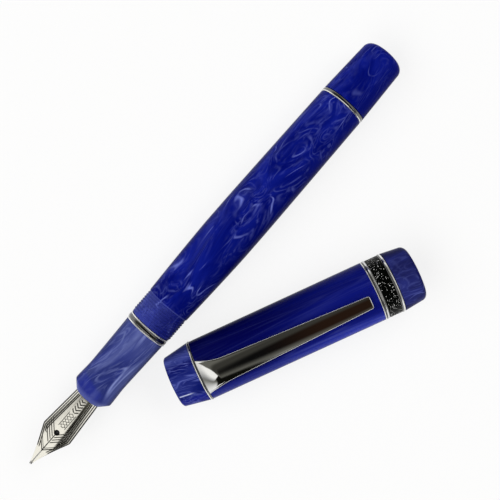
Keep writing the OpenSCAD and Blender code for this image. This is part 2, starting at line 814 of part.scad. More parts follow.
module cap_lip() {
  color(resin_colour) cap_at() lathe(concat(
    [[lip_x, cap_tenon_r + seat_fit], [lip_x, tube_rear_d / 2]],
    arc(lip_round_x, lip_round_r0, lip_round, lip_round, 90, lip_rim_angle, round_steps),
    [[cap_len, cap_bore_r], [cap_tenon_end_x + end_fit, cap_bore_r],
      [cap_tenon_end_x + end_fit, cap_tenon_r + seat_fit]]
  ));
}

// Clip: stations along its length, close together on the head and round the tip
clip_head_x = clip_x + clip_flare_len;
clip_pad_x = clip_tip_x - clip_pad_len;
clip_round_x = clip_tip_x - clip_corner_r;
clip_stations = concat(
  [for (i = [0:clip_head_rows - 1]) mix(clip_x, clip_head_x, i / clip_head_rows)],
  [for (i = [0:clip_arm_rows - 1]) mix(clip_head_x, clip_pad_x, i / clip_arm_rows)],
  [for (i = [0:clip_pad_rows - 1]) mix(clip_pad_x, clip_round_x, i / clip_pad_rows)],
  [for (i = [0:clip_tip_rows]) mix(clip_round_x, clip_tip_x, sin(90 * i / clip_tip_rows))]
);

function clip_ramp(x) = ease((x - clip_x) / clip_ramp_len);
function clip_corner(x) =
  let (d = max(0, x - clip_tip_x + clip_corner_r))
  clip_corner_r - sqrt(max(0, clip_corner_r * clip_corner_r - d * d));
function clip_half(x) =
  mix(clip_arm_w, clip_tip_w, (x - clip_x) / clip_len) / 2
  + (clip_head_w - clip_arm_w) / 2 * pow(1 - clamp01((x - clip_x) / clip_flare_len), 2)
  - clip_corner(x);
function clip_top(x) =
  mix(clip_root_top, clip_arm_top - clip_fall * (x - clip_x) / clip_len, clip_ramp(x))
  - clip_tip_drop * pow(clip_corner(x) / clip_corner_r, 2);
function clip_pad(x) =
  let (t = (clip_tip_x - x) / clip_pad_len)
  t >= 1 || t <= 0 ? 0 : pow(sin(180 * t), 2) * (clip_gap - clip_fall - clip_pad_room);
function clip_t(x) = mix(clip_root_t, clip_arm_t, clip_ramp(x)) + clip_pad(x);
function clip_sag(x, y) =
  let (r = mix(clip_root_top, clip_crown_r, clip_ramp(x))) r - sqrt(r * r - y * y);

// One cross-section of the clip, round from the left of its top
function clip_section(x) =
  let (
    half = clip_half(x),
    flat = half - clip_bevel,
    top = clip_top(x),
    bottom = top - clip_t(x),
    side = top - clip_sag(x, flat),
    foot = bottom - clip_sag(x, flat),
    ys = [for (j = [0:clip_columns]) mix(-flat, flat, j / clip_columns)]
  )
  concat(
    [for (y = ys) [x, y, top - clip_sag(x, y)]],
    [[x, half, side - clip_bevel], [x, half, foot + clip_bevel]],
    [for (j = [clip_columns:-1:0]) [x, ys[j], bottom - clip_sag(x, ys[j])]],
    [[x, -half, foot + clip_bevel], [x, -half, side - clip_bevel]]
  );

// Flat end of the clip: a strip between its top and its bottom
function clip_end(first) =
  let (m = clip_columns, last = first + 2 * m + 3)
  concat(
    [for (j = [0:m - 1]) each two(first + j, first + j + 1, last - j - 1, last - j)],
    two(first + m, first + m + 1, first + m + 2, first + m + 3),
    two(last, last + 1, last + 2, first)
  );

module clip() {
  n = clip_ring_points;
  rows = len(clip_stations);
  color(chrome_colour) cap_at() polyhedron(
    points = [for (x = clip_stations) each clip_section(x)],
    faces = concat(loft_sides(rows, n), turned(clip_end(0)), clip_end((rows - 1) * n)),
    convexity = 6
  );
}

nib();
nib_tipping();
feed();
section();
section_tenon();
section_ring();
section_seal();
ink_tube();
ink_tube_sleeve();
rod_guide();
converter_knob();
piston_rod();
piston_seal();
mixing_ball();
barrel();
barrel_bush();
tail_ring();
tail_cap();
tail_stud();
cap_tube();
inner_cap();
clip_ring();
clip();
finial();
finial_stud();
band_upper_ring();
cap_band();
band_lower_ring();
cap_lip();
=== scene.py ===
"""Looks of a fountain pen that lies uncapped beside its cap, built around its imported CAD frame.

Shapes are worked out in millimetres along the pen's or the cap's own axis, which starts at the nib's tip
or at the finial's end, and are then set in the frame, which is in metres.
"""

import json
import math

import bmesh
import bpy
from mathutils import Matrix, Vector, noise


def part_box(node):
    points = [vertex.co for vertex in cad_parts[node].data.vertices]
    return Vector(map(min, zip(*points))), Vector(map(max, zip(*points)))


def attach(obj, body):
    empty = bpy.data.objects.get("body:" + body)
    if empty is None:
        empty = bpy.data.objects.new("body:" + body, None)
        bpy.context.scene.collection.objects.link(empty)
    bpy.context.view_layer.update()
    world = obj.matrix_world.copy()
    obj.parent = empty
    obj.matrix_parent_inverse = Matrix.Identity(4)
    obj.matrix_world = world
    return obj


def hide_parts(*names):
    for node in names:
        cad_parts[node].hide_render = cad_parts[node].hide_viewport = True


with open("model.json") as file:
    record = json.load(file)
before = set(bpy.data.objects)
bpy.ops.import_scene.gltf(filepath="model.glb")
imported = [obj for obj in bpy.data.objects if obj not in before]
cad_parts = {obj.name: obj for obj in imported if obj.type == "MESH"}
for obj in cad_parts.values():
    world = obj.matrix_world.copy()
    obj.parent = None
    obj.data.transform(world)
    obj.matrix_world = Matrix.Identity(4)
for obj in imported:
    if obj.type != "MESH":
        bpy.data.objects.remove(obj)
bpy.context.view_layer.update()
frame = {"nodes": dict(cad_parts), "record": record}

bl_info = {
    "name": "Fountain pen looks",
    "version": (1, 0, 0),
    "blender": (4, 5, 0),
    "location": "View3D > Sidebar > Pen",
    "description": "Dresses the frame of a fountain pen: resin, polished trim, nib, converter and stage",
    "category": "Add Mesh",
}

MM = 0.001
TAU = 2 * math.pi

# Stations along the pen, in millimetres from the nib's tip
NIB_SHOULDER, NIB_HOLE, SECTION_AT, NIB_SEAT = 9.7, 10.2, 21.0, 30.08
CONVERTER_SEAT, TENON_AT, RING_AT, RING_END = 31.68, 36.8, 41.8, 43.52
RING_BEADS = (41.98, 43.34)
BARREL_AT, BUSH_AT, BUSH_END = 43.6, 44.42, 53.02
TAIL_RING_AT, TAIL_AT, PEN_LENGTH = 112.6, 113.8, 129.0

# Stations along the cap, in millimetres from the finial's end
WASHER_AT, CAP_TUBE_AT, CAP_BORE_MIDDLE = 7.0, 7.7, 37.14
BAND_AT, FIELD_AT, FIELD_END, LIP_AT, CAP_LENGTH = 52.2, 53.4, 56.5, 57.5, 63.3
CAP_ROLL = math.radians(9)

# Radii that more than one piece has, in millimetres
NIB_ROOT, TENON_BORE, TAIL_STUD = 3.25, 3.66, 2.52
CAP_STUD, CAP_BORE, BAND_SEAT, CAP_ROOT, CAP_SIDE, CAP_TRIM = 2.02, 5.85, 6.62, 7.32, 7.38, 7.45

# What finishes share: where most of a noise's values lie, and the usual polish and turned brass
MIDDLE = (0.3, 0.7)
POLISH_ROUGH, POLISH_GRAIN = (0.03, 0.09), (0.4, 6.0, 6.0)
BRASS_ROUGH, BRASS_GRAIN = (0.18, 0.3), (6.0, 0.6, 0.6)

# Facets round the converter's pieces and the band
CONVERTER_STEPS, BAND_STEPS = 96, 520


def pen_place():
    """Matrix from millimetres along the pen, counted from the nib's tip, to the frame."""
    low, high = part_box("tail_cap")
    middle = (low + high) / 2
    tip = Vector((high.x - PEN_LENGTH * MM, middle.y, middle.z))
    return Matrix.Translation(tip) @ Matrix.Scale(MM, 4)


def cap_place():
    """Matrix from millimetres along the cap, counted from the finial's end, to the frame."""
    mouth = next(m for m in frame["record"]["mounts"] if m["name"] == "cap_mouth")
    axis = Vector(mouth["axis"]).normalized()
    apex = Vector(mouth["pos_m"]) - axis * CAP_BORE_MIDDLE * MM
    turn = Matrix.Rotation(math.atan2(axis.y, axis.x), 4, "Z")
    return Matrix.Translation(apex) @ turn @ Matrix.Rotation(CAP_ROLL, 4, "X") @ Matrix.Scale(MM, 4)


PEN = pen_place()
CAP = cap_place()
CAP_BODIES = ("cap", "clip")


# Properties

def length(name, text, value, low=0):
    """Length property in metres, from a value in millimetres."""
    return bpy.props.FloatProperty(name=name, description=text, default=value * MM, min=low, unit="LENGTH",
                                   precision=5)


def power(name, text, value):
    """Property for a lamp's power, in watts."""
    return bpy.props.FloatProperty(name=name, description=text, default=value, min=0, unit="POWER")


def colour(name, text, value):
    """Colour property, in linear light."""
    return bpy.props.FloatVectorProperty(name=name, description=text, default=value, min=0, max=1, size=3,
                                         subtype="COLOR")


class PenShape(bpy.types.PropertyGroup):
    """Sizes of the pieces that the frame leaves to the looks."""
    turn_steps: bpy.props.IntProperty(
        name="Steps per turn", description="Facets round a turned piece", default=160, min=48, max=360)
    edge_break: length("Edge break", "Width of the small bevel on turned edges", 0.07)
    slit_width: length("Slit width", "Width of the slit between the nib's tines", 0.14)
    breather: length("Breather diameter", "Diameter of the nib's breather hole", 1.1)
    nib_sheet: length("Nib sheet", "Thickness of the nib's sheet", 0.34)
    cap_thread_pitch: length("Cap thread pitch", "Distance between turns of the cap's thread", 0.68)
    cap_thread_crest: length("Cap thread crest", "Radius over the barrel's cap thread", 5.69)
    tenon_pitch: length("Tenon pitch", "Distance between turns of the section's thread", 1.0)
    band_relief: length("Band relief", "Depth of the hammered grain on the cap band", 0.1)


class PenFinish(bpy.types.PropertyGroup):
    """Colours of the finishes."""
    deep_blue: colour("Deep blue", "Darkest tone of the barrel's resin", (0.0008, 0.0034, 0.14))
    royal_blue: colour("Royal blue", "Middle tone of the barrel's resin", (0.005, 0.0115, 0.235))
    vein_blue: colour("Vein blue", "Pale veins in the barrel's resin", (0.195, 0.24, 0.74))
    navy: colour("Navy", "Darkest tone of the cap's resin", (0.0008, 0.0012, 0.068))
    grip_blue: colour("Grip blue", "Middle tone of the section's pale resin", (0.018, 0.029, 0.215))
    grip_vein: colour("Grip vein", "Pale streaks in the section's resin", (0.25, 0.3, 0.64))
    chrome: colour("Chrome", "Polished plating", (0.86, 0.86, 0.85))
    steel: colour("Nib steel", "Satin steel of the nib", (0.92, 0.9, 0.82))
    brass: colour("Brass", "Threaded liners and studs", (0.62, 0.43, 0.17))
    black: colour("Black", "Moulded black plastic", (0.012, 0.012, 0.014))


class PenStage(bpy.types.PropertyGroup):
    """Camera, floor and lamps."""
    height: length("Camera height", "Height of the camera over the floor", 228.0)
    middle_x: length("Camera X", "Point under the camera", 8.27, -1)
    middle_y: length("Camera Y", "Point under the camera", 13.15, -1)
    roll: bpy.props.FloatProperty(
        name="Camera roll", description="Turn of the picture about the line of sight",
        default=math.radians(-48.95), subtype="ANGLE")
    lens: bpy.props.FloatProperty(
        name="Lens", description="Focal length for a sensor 36 mm wide", default=66.95, min=20)
    key: power("Key lamp", "Power of the large soft lamp beyond the nib", 28.0)
    fill: power("Fill lamp", "Power of the soft lamp beyond the tail", 13.5)
    floor: colour("Floor", "Colour of the floor", (0.95, 0.95, 0.95))


# Modelling

def mix(a, b, t):
    """Value between two others."""
    return a + (b - a) * t


def ease(t):
    """Smooth step from 0 to 1."""
    t = min(1.0, max(0.0, t))
    return t * t * (3 - 2 * t)


def spread(ends, counts):
    """Stations that divide each stretch between two ends into its count of steps."""
    out = [ends[0]]
    for start, end, count in zip(ends, ends[1:], counts):
        out += [mix(start, end, (i + 1) / count) for i in range(count)]
    return out


def arc(x, r, reach_x, reach_r, first, last, steps):
    """Points on an elliptical arc about (x, r), with its angles in degrees."""
    angles = [math.radians(mix(first, last, i / steps)) for i in range(steps + 1)]
    return [(x + reach_x * math.cos(a), r + reach_r * math.sin(a)) for a in angles]


def turned(outline, steps=None):
    """Body turned about the X axis from (x, radius) points.

    An outline that starts on the axis isn't joined from its end to its start.
    """
    bm = bmesh.new()
    points = [bm.verts.new((x, 0, r)) for x, r in outline]
    pairs = list(zip(points, points[1:]))
    if outline[0][1] > 0:
        pairs.append((points[-1], points[0]))
    edges = [bm.edges.new(pair) for pair in pairs]
    bmesh.ops.spin(bm, geom=points + edges, cent=(0, 0, 0), axis=(1, 0, 0), angle=TAU,
                   steps=steps or bpy.context.scene.pen_shape.turn_steps, use_merge=True, use_duplicate=False)
    close_up(bm)
    return bm


def close_up(bm):
    """Merges doubled points and turns every face outwards."""
    bmesh.ops.remove_doubles(bm, verts=bm.verts, dist=1e-5)
    bmesh.ops.dissolve_degenerate(bm, edges=bm.edges, dist=1e-6)
    bmesh.ops.recalc_face_normals(bm, faces=bm.faces)


def break_edges(bm, width, angle=30, segments=2):
    """Small rounded bevel along every edge that is sharper than the angle."""
    sharp = [e for e in bm.edges if len(e.link_faces) == 2 and e.calc_face_angle(0) > math.radians(angle)]
    if sharp:
        bmesh.ops.bevel(bm, geom=sharp, offset=width, offset_type="OFFSET", segments=segments, profile=0.5,
                        affect="EDGES", clamp_overlap=True, material=-1)


def thread(first, last, pitch, root, crest, land=0.2, steps=60):
    """Helical ridge about the X axis, drawn out from a small profile."""
    bm = bmesh.new()
    half = pitch * 0.45
    top = pitch * land / 2
    profile = [(-half, root), (-top, crest), (top, crest), (half, root)]
    points = [bm.verts.new((first + x, 0, r)) for x, r in profile]
    edges = [bm.edges.new(pair) for pair in zip(points, points[1:] + points[:1])]
    turns = (last - first) / pitch
    count = round(turns * steps)
    bmesh.ops.spin(bm, geom=points + edges, cent=(0, 0, 0), axis=(1, 0, 0), angle=TAU * turns, steps=count,
                   dvec=((last - first) / count, 0, 0), use_duplicate=False)
    bmesh.ops.holes_fill(bm, edges=[e for e in bm.edges if e.is_boundary], sides=0)
    bmesh.ops.recalc_face_normals(bm, faces=bm.faces)
    return bm


def mapped_grid(rows, columns, point):
    """Grid whose points are put where point(row, column) says."""
    bm = bmesh.new()
    bmesh.ops.create_grid(bm, x_segments=rows, y_segments=columns, size=0.5)
    for v in bm.verts:
        v.co = point(round((v.co.x + 0.5) * rows), round((v.co.y + 0.5) * columns))
    return bm


def node_copy(node, bevel=0.0):
    """Merged copy of one of the pen's CAD nodes in millimetres, with its sharp edges broken."""
    bm = bmesh.new()
    bm.from_mesh(frame["nodes"][node].data)
    bmesh.ops.transform(bm, matrix=PEN.inverted(), verts=bm.verts)
    bmesh.ops.remove_doubles(bm, verts=bm.verts, dist=1e-4)
    bmesh.ops.dissolve_limit(bm, angle_limit=math.radians(1), verts=bm.verts, edges=bm.edges)
    if bevel:
        break_edges(bm, bevel, 40)
        bmesh.ops.dissolve_degenerate(bm, edges=bm.edges, dist=1e-3)
    return bm


def finished(bm, name, body, maker, node=None, slot=None, sharp=35, marks=None):
    """Sets a modelled piece in the frame as an object at the origin, on its body and in its finish.

    It stands for one CAD node or none. The slot argument is not used.
    """
    for label, value in (marks or {}).items():
        layer = bm.verts.layers.float.new(label)
        for v in bm.verts:
            v[layer] = value(v.co)
    bmesh.ops.transform(bm, matrix=CAP if body in CAP_BODIES else PEN, verts=bm.verts)
    mesh = bpy.data.meshes.new(name)
    bm.to_mesh(mesh)
    bm.free()
    mesh.shade_smooth()
    mesh.set_sharp_from_angle(angle=math.radians(sharp))
    mesh.materials.append(finish(maker))
    piece = bpy.data.objects.new(name, mesh)
    bpy.context.scene.collection.objects.link(piece)
    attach(piece, body)
    if node:
        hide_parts(node)
    slot or maker.__name__


def lathe(outline, bevel, *setting, steps=None):
    """Turned piece with its edges broken, set in the frame."""
    bm = turned(outline, steps)
    break_edges(bm, bevel)
    finished(bm, *setting)


def dress(node, maker):
    """Gives a CAD node that keeps its own shape a better finish."""
    mesh = frame["nodes"][node].data
    mesh.materials.clear()
    mesh.materials.append(finish(maker))


# Finishes

class Web:
    """A node tree, grown a node at a time."""

    def __init__(self, tree):
        tree.nodes.clear()
        self.nodes, self.links = tree.nodes, tree.links

    def plug(self, socket, value):
        if isinstance(value, bpy.types.NodeSocket):
            self.links.new(value, socket)
        elif socket.type == "RGBA" and len(value) == 3:
            socket.default_value = (*value, 1)
        else:
            socket.default_value = value

    def node(self, kind, inputs=(), **settings):
        made = self.nodes.new("ShaderNode" + kind)
        for key, value in settings.items():
            setattr(made, key, value)
        for key, value in dict(inputs).items():
            self.plug(made.inputs[key], value)
        return made

    def math(self, operation, *values):
        return self.node("Math", enumerate(values), operation=operation).outputs[0]

    def vector(self, operation, *values):
        return self.node("VectorMath", enumerate(values), operation=operation).outputs[0]

    def chained(self, operation, first, *others):
        for other in others:
            first = self.math(operation, first, other)
        return first

    def times(self, *values):
        """Product of the values."""
        return self.chained("MULTIPLY", *values)

    def most(self, *values):
        """Highest of the values."""
        return self.chained("MAXIMUM", *values)

    def apart(self, first, second):
        """Distance between two values."""
        return self.math("ABSOLUTE", self.math("SUBTRACT", first, second))

    def reach(self, first, second):
        """Length of the diagonal of two values."""
        return self.math("SQRT", self.math("ADD", self.times(first, first), self.times(second, second)))

    def stretched(self, vector, amounts):
        return self.vector("MULTIPLY", vector, amounts)

    def scaled(self, vector, amount):
        return self.node("VectorMath", {0: vector, "Scale": amount}, operation="SCALE").outputs[0]

    def parts(self, vector):
        return self.node("SeparateXYZ", {0: vector}).outputs

    def noise(self, vector, scale, detail=2.0, roughness=0.5, coloured=False):
        made = self.node("TexNoise", {"Vector": vector, "Scale": scale, "Detail": detail,
                                      "Roughness": roughness})
        return made.outputs["Color" if coloured else "Fac"]

    def ramp(self, value, first, last, low=0.0, high=1.0):
        """Smooth step of a value between two limits."""
        return self.node("MapRange", {0: value, 1: first, 2: last, 3: low, 4: high},
                         interpolation_type="SMOOTHSTEP").outputs[0]

    def blend(self, factor, first, second):
        return self.node("Mix", {0: factor, 6: first, 7: second}, data_type="RGBA").outputs[2]

    def attribute(self, name):
        return self.node("Attribute", attribute_name=name).outputs["Fac"]

    def warped(self, vector, scale, amount, detail=1.0):
        """Vector pushed about by a noise, up to about half the amount each way."""
        push = self.vector("SUBTRACT", self.noise(vector, scale, detail, coloured=True), (0.5, 0.5, 0.5))
        return self.vector("ADD", vector, self.scaled(push, amount))

    def lines(self, value, levels, width):
        """Thin lines where a value crosses evenly spaced levels."""
        steps = self.math("FRACT", self.times(value, levels))
        away = self.apart(steps, 0.5)
        return self.ramp(away, 0.0, width, 1.0, 0.0)


class Finish(Web):
    """One material, grown round its shader."""

    def __init__(self, name, **shader):
        self.material = bpy.data.materials.new(name)
        self.material.use_nodes = True
        super().__init__(self.material.node_tree)
        self.shader = self.node("BsdfPrincipled")
        self.out = self.node("OutputMaterial", {"Surface": self.shader.outputs["BSDF"]})
        self.set(**shader)

    def set(self, **values):
        """Sets or links the shader's sockets, named with _ for a space."""
        for key, value in values.items():
            self.plug(self.shader.inputs[key.replace("_", " ")], value)

    def local(self, place):
        """Millimetres along and across the pen or the cap."""
        moved, turn, scale = place.inverted().decompose()
        coordinates = self.node("TexCoord").outputs["Object"]
        return self.node("Mapping", {"Vector": coordinates, "Location": moved, "Scale": scale,
                                     "Rotation": turn.to_euler("XYZ")}).outputs[0]

    def bump(self, height, depth):
        """Bump of a height between 0 and 1, with its depth in millimetres."""
        made = self.node("Bump", {"Height": height, "Distance": depth * MM, "Strength": 1.0})
        self.set(Normal=made.outputs[0])


FINISHES = {}


def finish(maker):
    """The material that a maker makes, made when it is first asked for."""
    if maker not in FINISHES:
        FINISHES[maker] = maker()
    return FINISHES[maker]


def chosen(name, strength=1.0):
    """Colour from the settings, times a strength."""
    return tuple(strength * v for v in getattr(bpy.context.scene.pen_finish, name))


class Resin(Finish):
    """Resin whose clouds and veins can be toned from place to place before it is polished."""

    def streaks(self, stretch, scale, first, last):
        """Long streaks that follow the swirl."""
        return self.ramp(self.noise(self.stretched(self.swirl, stretch), scale, 2.0), first, last)

    def paint(self, share, tone):
        """Lays a tone over the clouds: a colour of the piece's own, or one named in the settings."""
        self.body = self.blend(share, self.body, chosen(tone) if isinstance(tone, str) else tone)

    def thin(self, *shares):
        """Leaves a share of the veins."""
        self.amount = self.times(self.amount, *shares)

    def polish(self, vein, radius, edge=0.62):
        """Material with its veins in, its flanks darkened by edge as painted shade, and a polish that leaves a
        faint haze.
        """
        # Painted shade: darker towards both flanks, up to the share edge of half the deep tone.
        flank_shade = self.ramp(self.math("ABSOLUTE", self.across), 0.76 * radius, 0.98 * radius, 0.0, edge)
        veined = self.blend(self.amount, self.body, chosen(vein))
        self.set(Base_Color=self.blend(flank_shade, veined, tuple(0.5 * v for v in self.deep)))
        self.set(Roughness=self.ramp(self.noise(self.at, 0.8, 4.0, 0.6), *MIDDLE, 0.1, 0.2))
        self.bump(self.noise(self.at, 0.35, 2.0), 0.012)
        return self.material


def marbled(name, place, deep, middle, seed, stretch=0.5, stir=1.0, veins=0.4, bunches=0.4, pearl=0.8):
    """Resin with pearly veins that swirl round clouds of two blues.

    The seed moves the pattern, stretch draws it out along the axis and stir folds it. The amounts of veins,
    bunches of fine hairs and pearl run from 0 to 1.
    """
    f = Resin(name, IOR=1.07)
    f.deep = deep
    f.at = f.local(place)
    f.along, f.across = f.parts(f.at)[:2]
    flow = f.vector("ADD", f.stretched(f.at, (stretch, 1, 1)), (seed, 0.37 * seed, -0.61 * seed))
    f.swirl = swirl = f.warped(f.warped(flow, 0.1, 11.0 * stir, 0.0), 0.3, 3.6 * stir, 0.0)

    # Clouds, then patches of fine strokes and hairs, then a few uneven wisps that turn pearly in places
    clouds = f.ramp(f.noise(swirl, 0.24, 3.0, 0.55), 0.34, 0.68)
    f.body = f.blend(clouds, deep, middle)
    patchy = f.ramp(f.noise(swirl, 0.2, 1.0), 0.3, 0.62)
    strokes = f.ramp(f.noise(f.stretched(swirl, (0.4, 1, 1)), 1.5, 3.0, 0.55), 0.5, 0.72)
    hairs = f.lines(f.noise(swirl, 0.17, 1.0, 0.4), 13.0, 0.27)
    hairs = f.times(hairs, f.ramp(f.noise(flow, 0.5, 2.0), 0.34, 0.66))
    fine = f.times(f.most(f.times(strokes, 0.8), hairs), patchy, bunches)
    wisps = f.lines(f.noise(swirl, 0.13, 1.2, 0.4), 8.0, 0.12)
    uneven = f.times(f.ramp(f.noise(flow, 0.26, 1.0), 0.42, 0.66),
                     f.ramp(f.noise(swirl, 0.35, 2.0), 0.36, 0.66))
    shine = f.ramp(f.noise(flow, 0.45, 1.0), 0.56, 0.68, veins, pearl)
    f.amount = f.most(fine, f.times(wisps, uneven, shine))
    return f


def barrel_resin():
    """Paler streaks along the lit side as painted light, a deeper tone with fewer veins along the other side as
    painted shade, and a paler land under the thread with a painted highlight on its step.
    """
    f = marbled("barrel_resin", PEN, chosen("deep_blue"), chosen("royal_blue"), 3.7, veins=0.8, bunches=0.22,
                pearl=1.0)
    # Painted light: pale streaks laid along the lit side.
    streaks = f.streaks((0.4, 1.3, 1.3), 0.4, 0.42, 0.62)
    f.paint(f.times(f.ramp(f.across, 0.5, 5.0), f.times(streaks, 0.06)), "vein_blue")
    # Painted shade: a deeper tone along the other side.
    f.paint(f.ramp(f.across, -6.0, 0.5, 0.85, 0.0), "deep_blue")
    # Paler land under the thread, paler towards the lit side as painted light, and a painted highlight line on
    # its rear step.
    land = f.times(f.ramp(f.along, 49.9, 50.2, 1.0, 0.0), f.ramp(f.across, -5.0, 3.5, 0.02, 0.17))
    step = f.ramp(f.apart(f.along, 50.15), 0.08, 0.22, 0.2, 0.0)
    f.paint(f.most(land, step), "vein_blue")
    # Fewer veins on the tail, and fewer on the shaded side as part of the painted shade.
    f.thin(f.ramp(f.along, 113.6, 114.0, 1.0, 0.4), f.ramp(f.across, -6.0, -3.0, 0.45, 1.0))
    return f.polish("vein_blue", 6.2)


def section_resin():
    """Deeper patch behind a pale nose, long pale clouds, and a paler side and rear end."""
    f = marbled("section_resin", PEN, (0.006, 0.012, 0.13), chosen("grip_blue"), 11.3, stretch=0.3, veins=1.0,
                pearl=1.0)
    slanted = f.math("ADD", f.along, f.times(f.across, -0.2))
    f.paint(f.times(f.ramp(slanted, 24.4, 25.6, 0.8, 0.0), f.ramp(f.across, -3.6, -1.5)), "royal_blue")
    f.paint(f.ramp(f.along, 21.4, 23.0, 0.3, 0.06), "grip_vein")
    f.paint(f.ramp(f.noise(f.stretched(f.swirl, (0.5, 1, 1)), 0.2, 3.0), 0.52, 0.74, 0.0, 0.28), "grip_vein")
    f.paint(f.most(f.ramp(f.across, -5.2, -2.6, 0.22, 0.0), f.ramp(f.along, 33.0, 39.0, 0.0, 0.1)), "grip_vein")
    f.thin(f.ramp(f.along, 23.0, 27.0, 0.15, 1.0))
    return f.polish("grip_vein", 5.4)


def cap_resin():
    """Navy towards one side and the finial, brighter and streaked towards the other side and the mouth."""
    f = marbled("cap_resin", CAP, chosen("navy"), (0.004, 0.0075, 0.165), 23.1, stretch=0.07, stir=0.3,
                bunches=0.3, pearl=0.6)
    streaks = f.streaks((0.35, 1.5, 1.5), 0.35, 0.35, 0.65)
    bright = f.times(f.ramp(f.across, -3.0, -6.6), f.math("ADD", 0.45, f.times(streaks, 0.4)),
                     f.ramp(f.along, 22.0, 46.0, 0.9, 1.2))
    f.paint(f.ramp(f.along, 18.0, 42.0, 0.0, 0.42), (0.007, 0.013, 0.26))
    f.paint(bright, f.blend(f.ramp(f.along, 20.0, 48.0), (0.026, 0.04, 0.36), (0.036, 0.055, 0.5)))
    f.paint(f.times(f.ramp(f.across, -1.0, 4.5, 0.0, 0.85), f.ramp(f.along, 20.0, 50.0, 1.0, 0.1)), "navy")
    f.thin(f.ramp(f.across, -4.0, 2.0, 0.6, 0.2), f.ramp(f.along, 16.0, 40.0, 0.5, 1.0))
    return f.polish("vein_blue", 7.5, 0.25)


def finial_resin():
    """Paler side, a deep band beside it, and a painted highlight: one bright streak on the far side."""
    f = marbled("finial_resin", CAP, (0.005, 0.01, 0.14), (0.02, 0.03, 0.21), 27.7, stretch=0.6, bunches=0.45)
    f.paint(f.ramp(f.across, 4.8, 5.6, 0.0, 0.14), "vein_blue")
    f.paint(f.times(f.ramp(f.across, 3.2, 3.9), f.ramp(f.across, 4.6, 5.0, 0.75, 0.0)), (0.002, 0.0035, 0.11))
    f.paint(f.ramp(f.across, -3.0, -4.2, 0.0, 0.75), (0.006, 0.01, 0.26))
    # Painted highlight: one bright streak on the far side, with the veins left out under it.
    away = f.math("ABSOLUTE", f.math("ADD", f.math("ADD", f.across, 2.25), f.times(f.along, 0.07)))
    painted_highlight_streak = f.times(f.ramp(away, 0.06, 0.22, 0.9, 0.0), f.ramp(f.along, 3.2, 4.8, 1.0, 0.0),
                     f.ramp(f.along, 0.85, 1.05))
    f.paint(painted_highlight_streak, (0.6, 0.65, 0.9))
    f.thin(f.math("SUBTRACT", 1.0, painted_highlight_streak))
    return f.polish("vein_blue", 7.5)


def lip_resin():
    """Paler than the cap, and darker towards the open end as painted shade."""
    f = marbled("lip_resin", CAP, (0.011, 0.013, 0.09), (0.022, 0.028, 0.18), 57.3, bunches=0.14, pearl=0.6)
    # Painted shade towards the open end.
    f.paint(f.ramp(f.along, 62.2, 63.2, 0.0, 0.8), "navy")
    return f.polish("vein_blue", 7.5)


def polished(name, place, tint, rough=POLISH_ROUGH, grain=POLISH_GRAIN):
    """Bright plating with fine polishing lines."""
    f = Finish(name, Metallic=1.0)
    at = f.local(place)
    lines = f.noise(f.stretched(at, grain), 1.6, 3.0, 0.6)
    f.set(Base_Color=f.blend(f.ramp(lines, *MIDDLE), tuple(0.94 * v for v in tint), tint))
    f.set(Roughness=f.ramp(f.noise(at, 0.7, 3.0), *MIDDLE, *rough))
    f.bump(lines, 0.003)
    return f.material


def pen_chrome():
    return polished("pen_chrome", PEN, chosen("chrome", 0.7))


def lined(name, place, beads):
    """Polished plating, bright on its narrow beads and darkened beside them as painted shade."""
    f = Finish(name)
    at = f.local(place)
    along = f.parts(at)[0]
    bright = 0.0
    for middle, half in beads:
        away = f.apart(along, middle)
        bright = f.most(bright, f.ramp(away, half, half + 0.06, 1.0, 0.0))
    lines = f.noise(f.stretched(at, POLISH_GRAIN), 1.6, 3.0, 0.6)
    # Painted shade: the plating beside the beads is darkened to a fifth of its colour.
    f.set(Base_Color=f.blend(bright, chosen("chrome", 0.2), chosen("chrome")))
    f.set(Metallic=f.ramp(bright, 0.0, 1.0, 1.0, 0.8), Roughness=f.ramp(lines, *MIDDLE, *POLISH_ROUGH))
    f.bump(lines, 0.003)
    return f.material


def ring_chrome():
    return lined("ring_chrome", PEN, ((RING_BEADS[0], 0.16), (RING_BEADS[1], 0.16), (112.76, 0.14)))


def cap_chrome():
    return lined("cap_chrome", CAP, ((7.16, 0.12), (52.3, 0.08), (52.98, 0.1), (57.1, 0.14)))


def clip_chrome():
    return polished("clip_chrome", CAP, chosen("chrome"), (0.02, 0.06), (0.25, 4.0, 4.0))


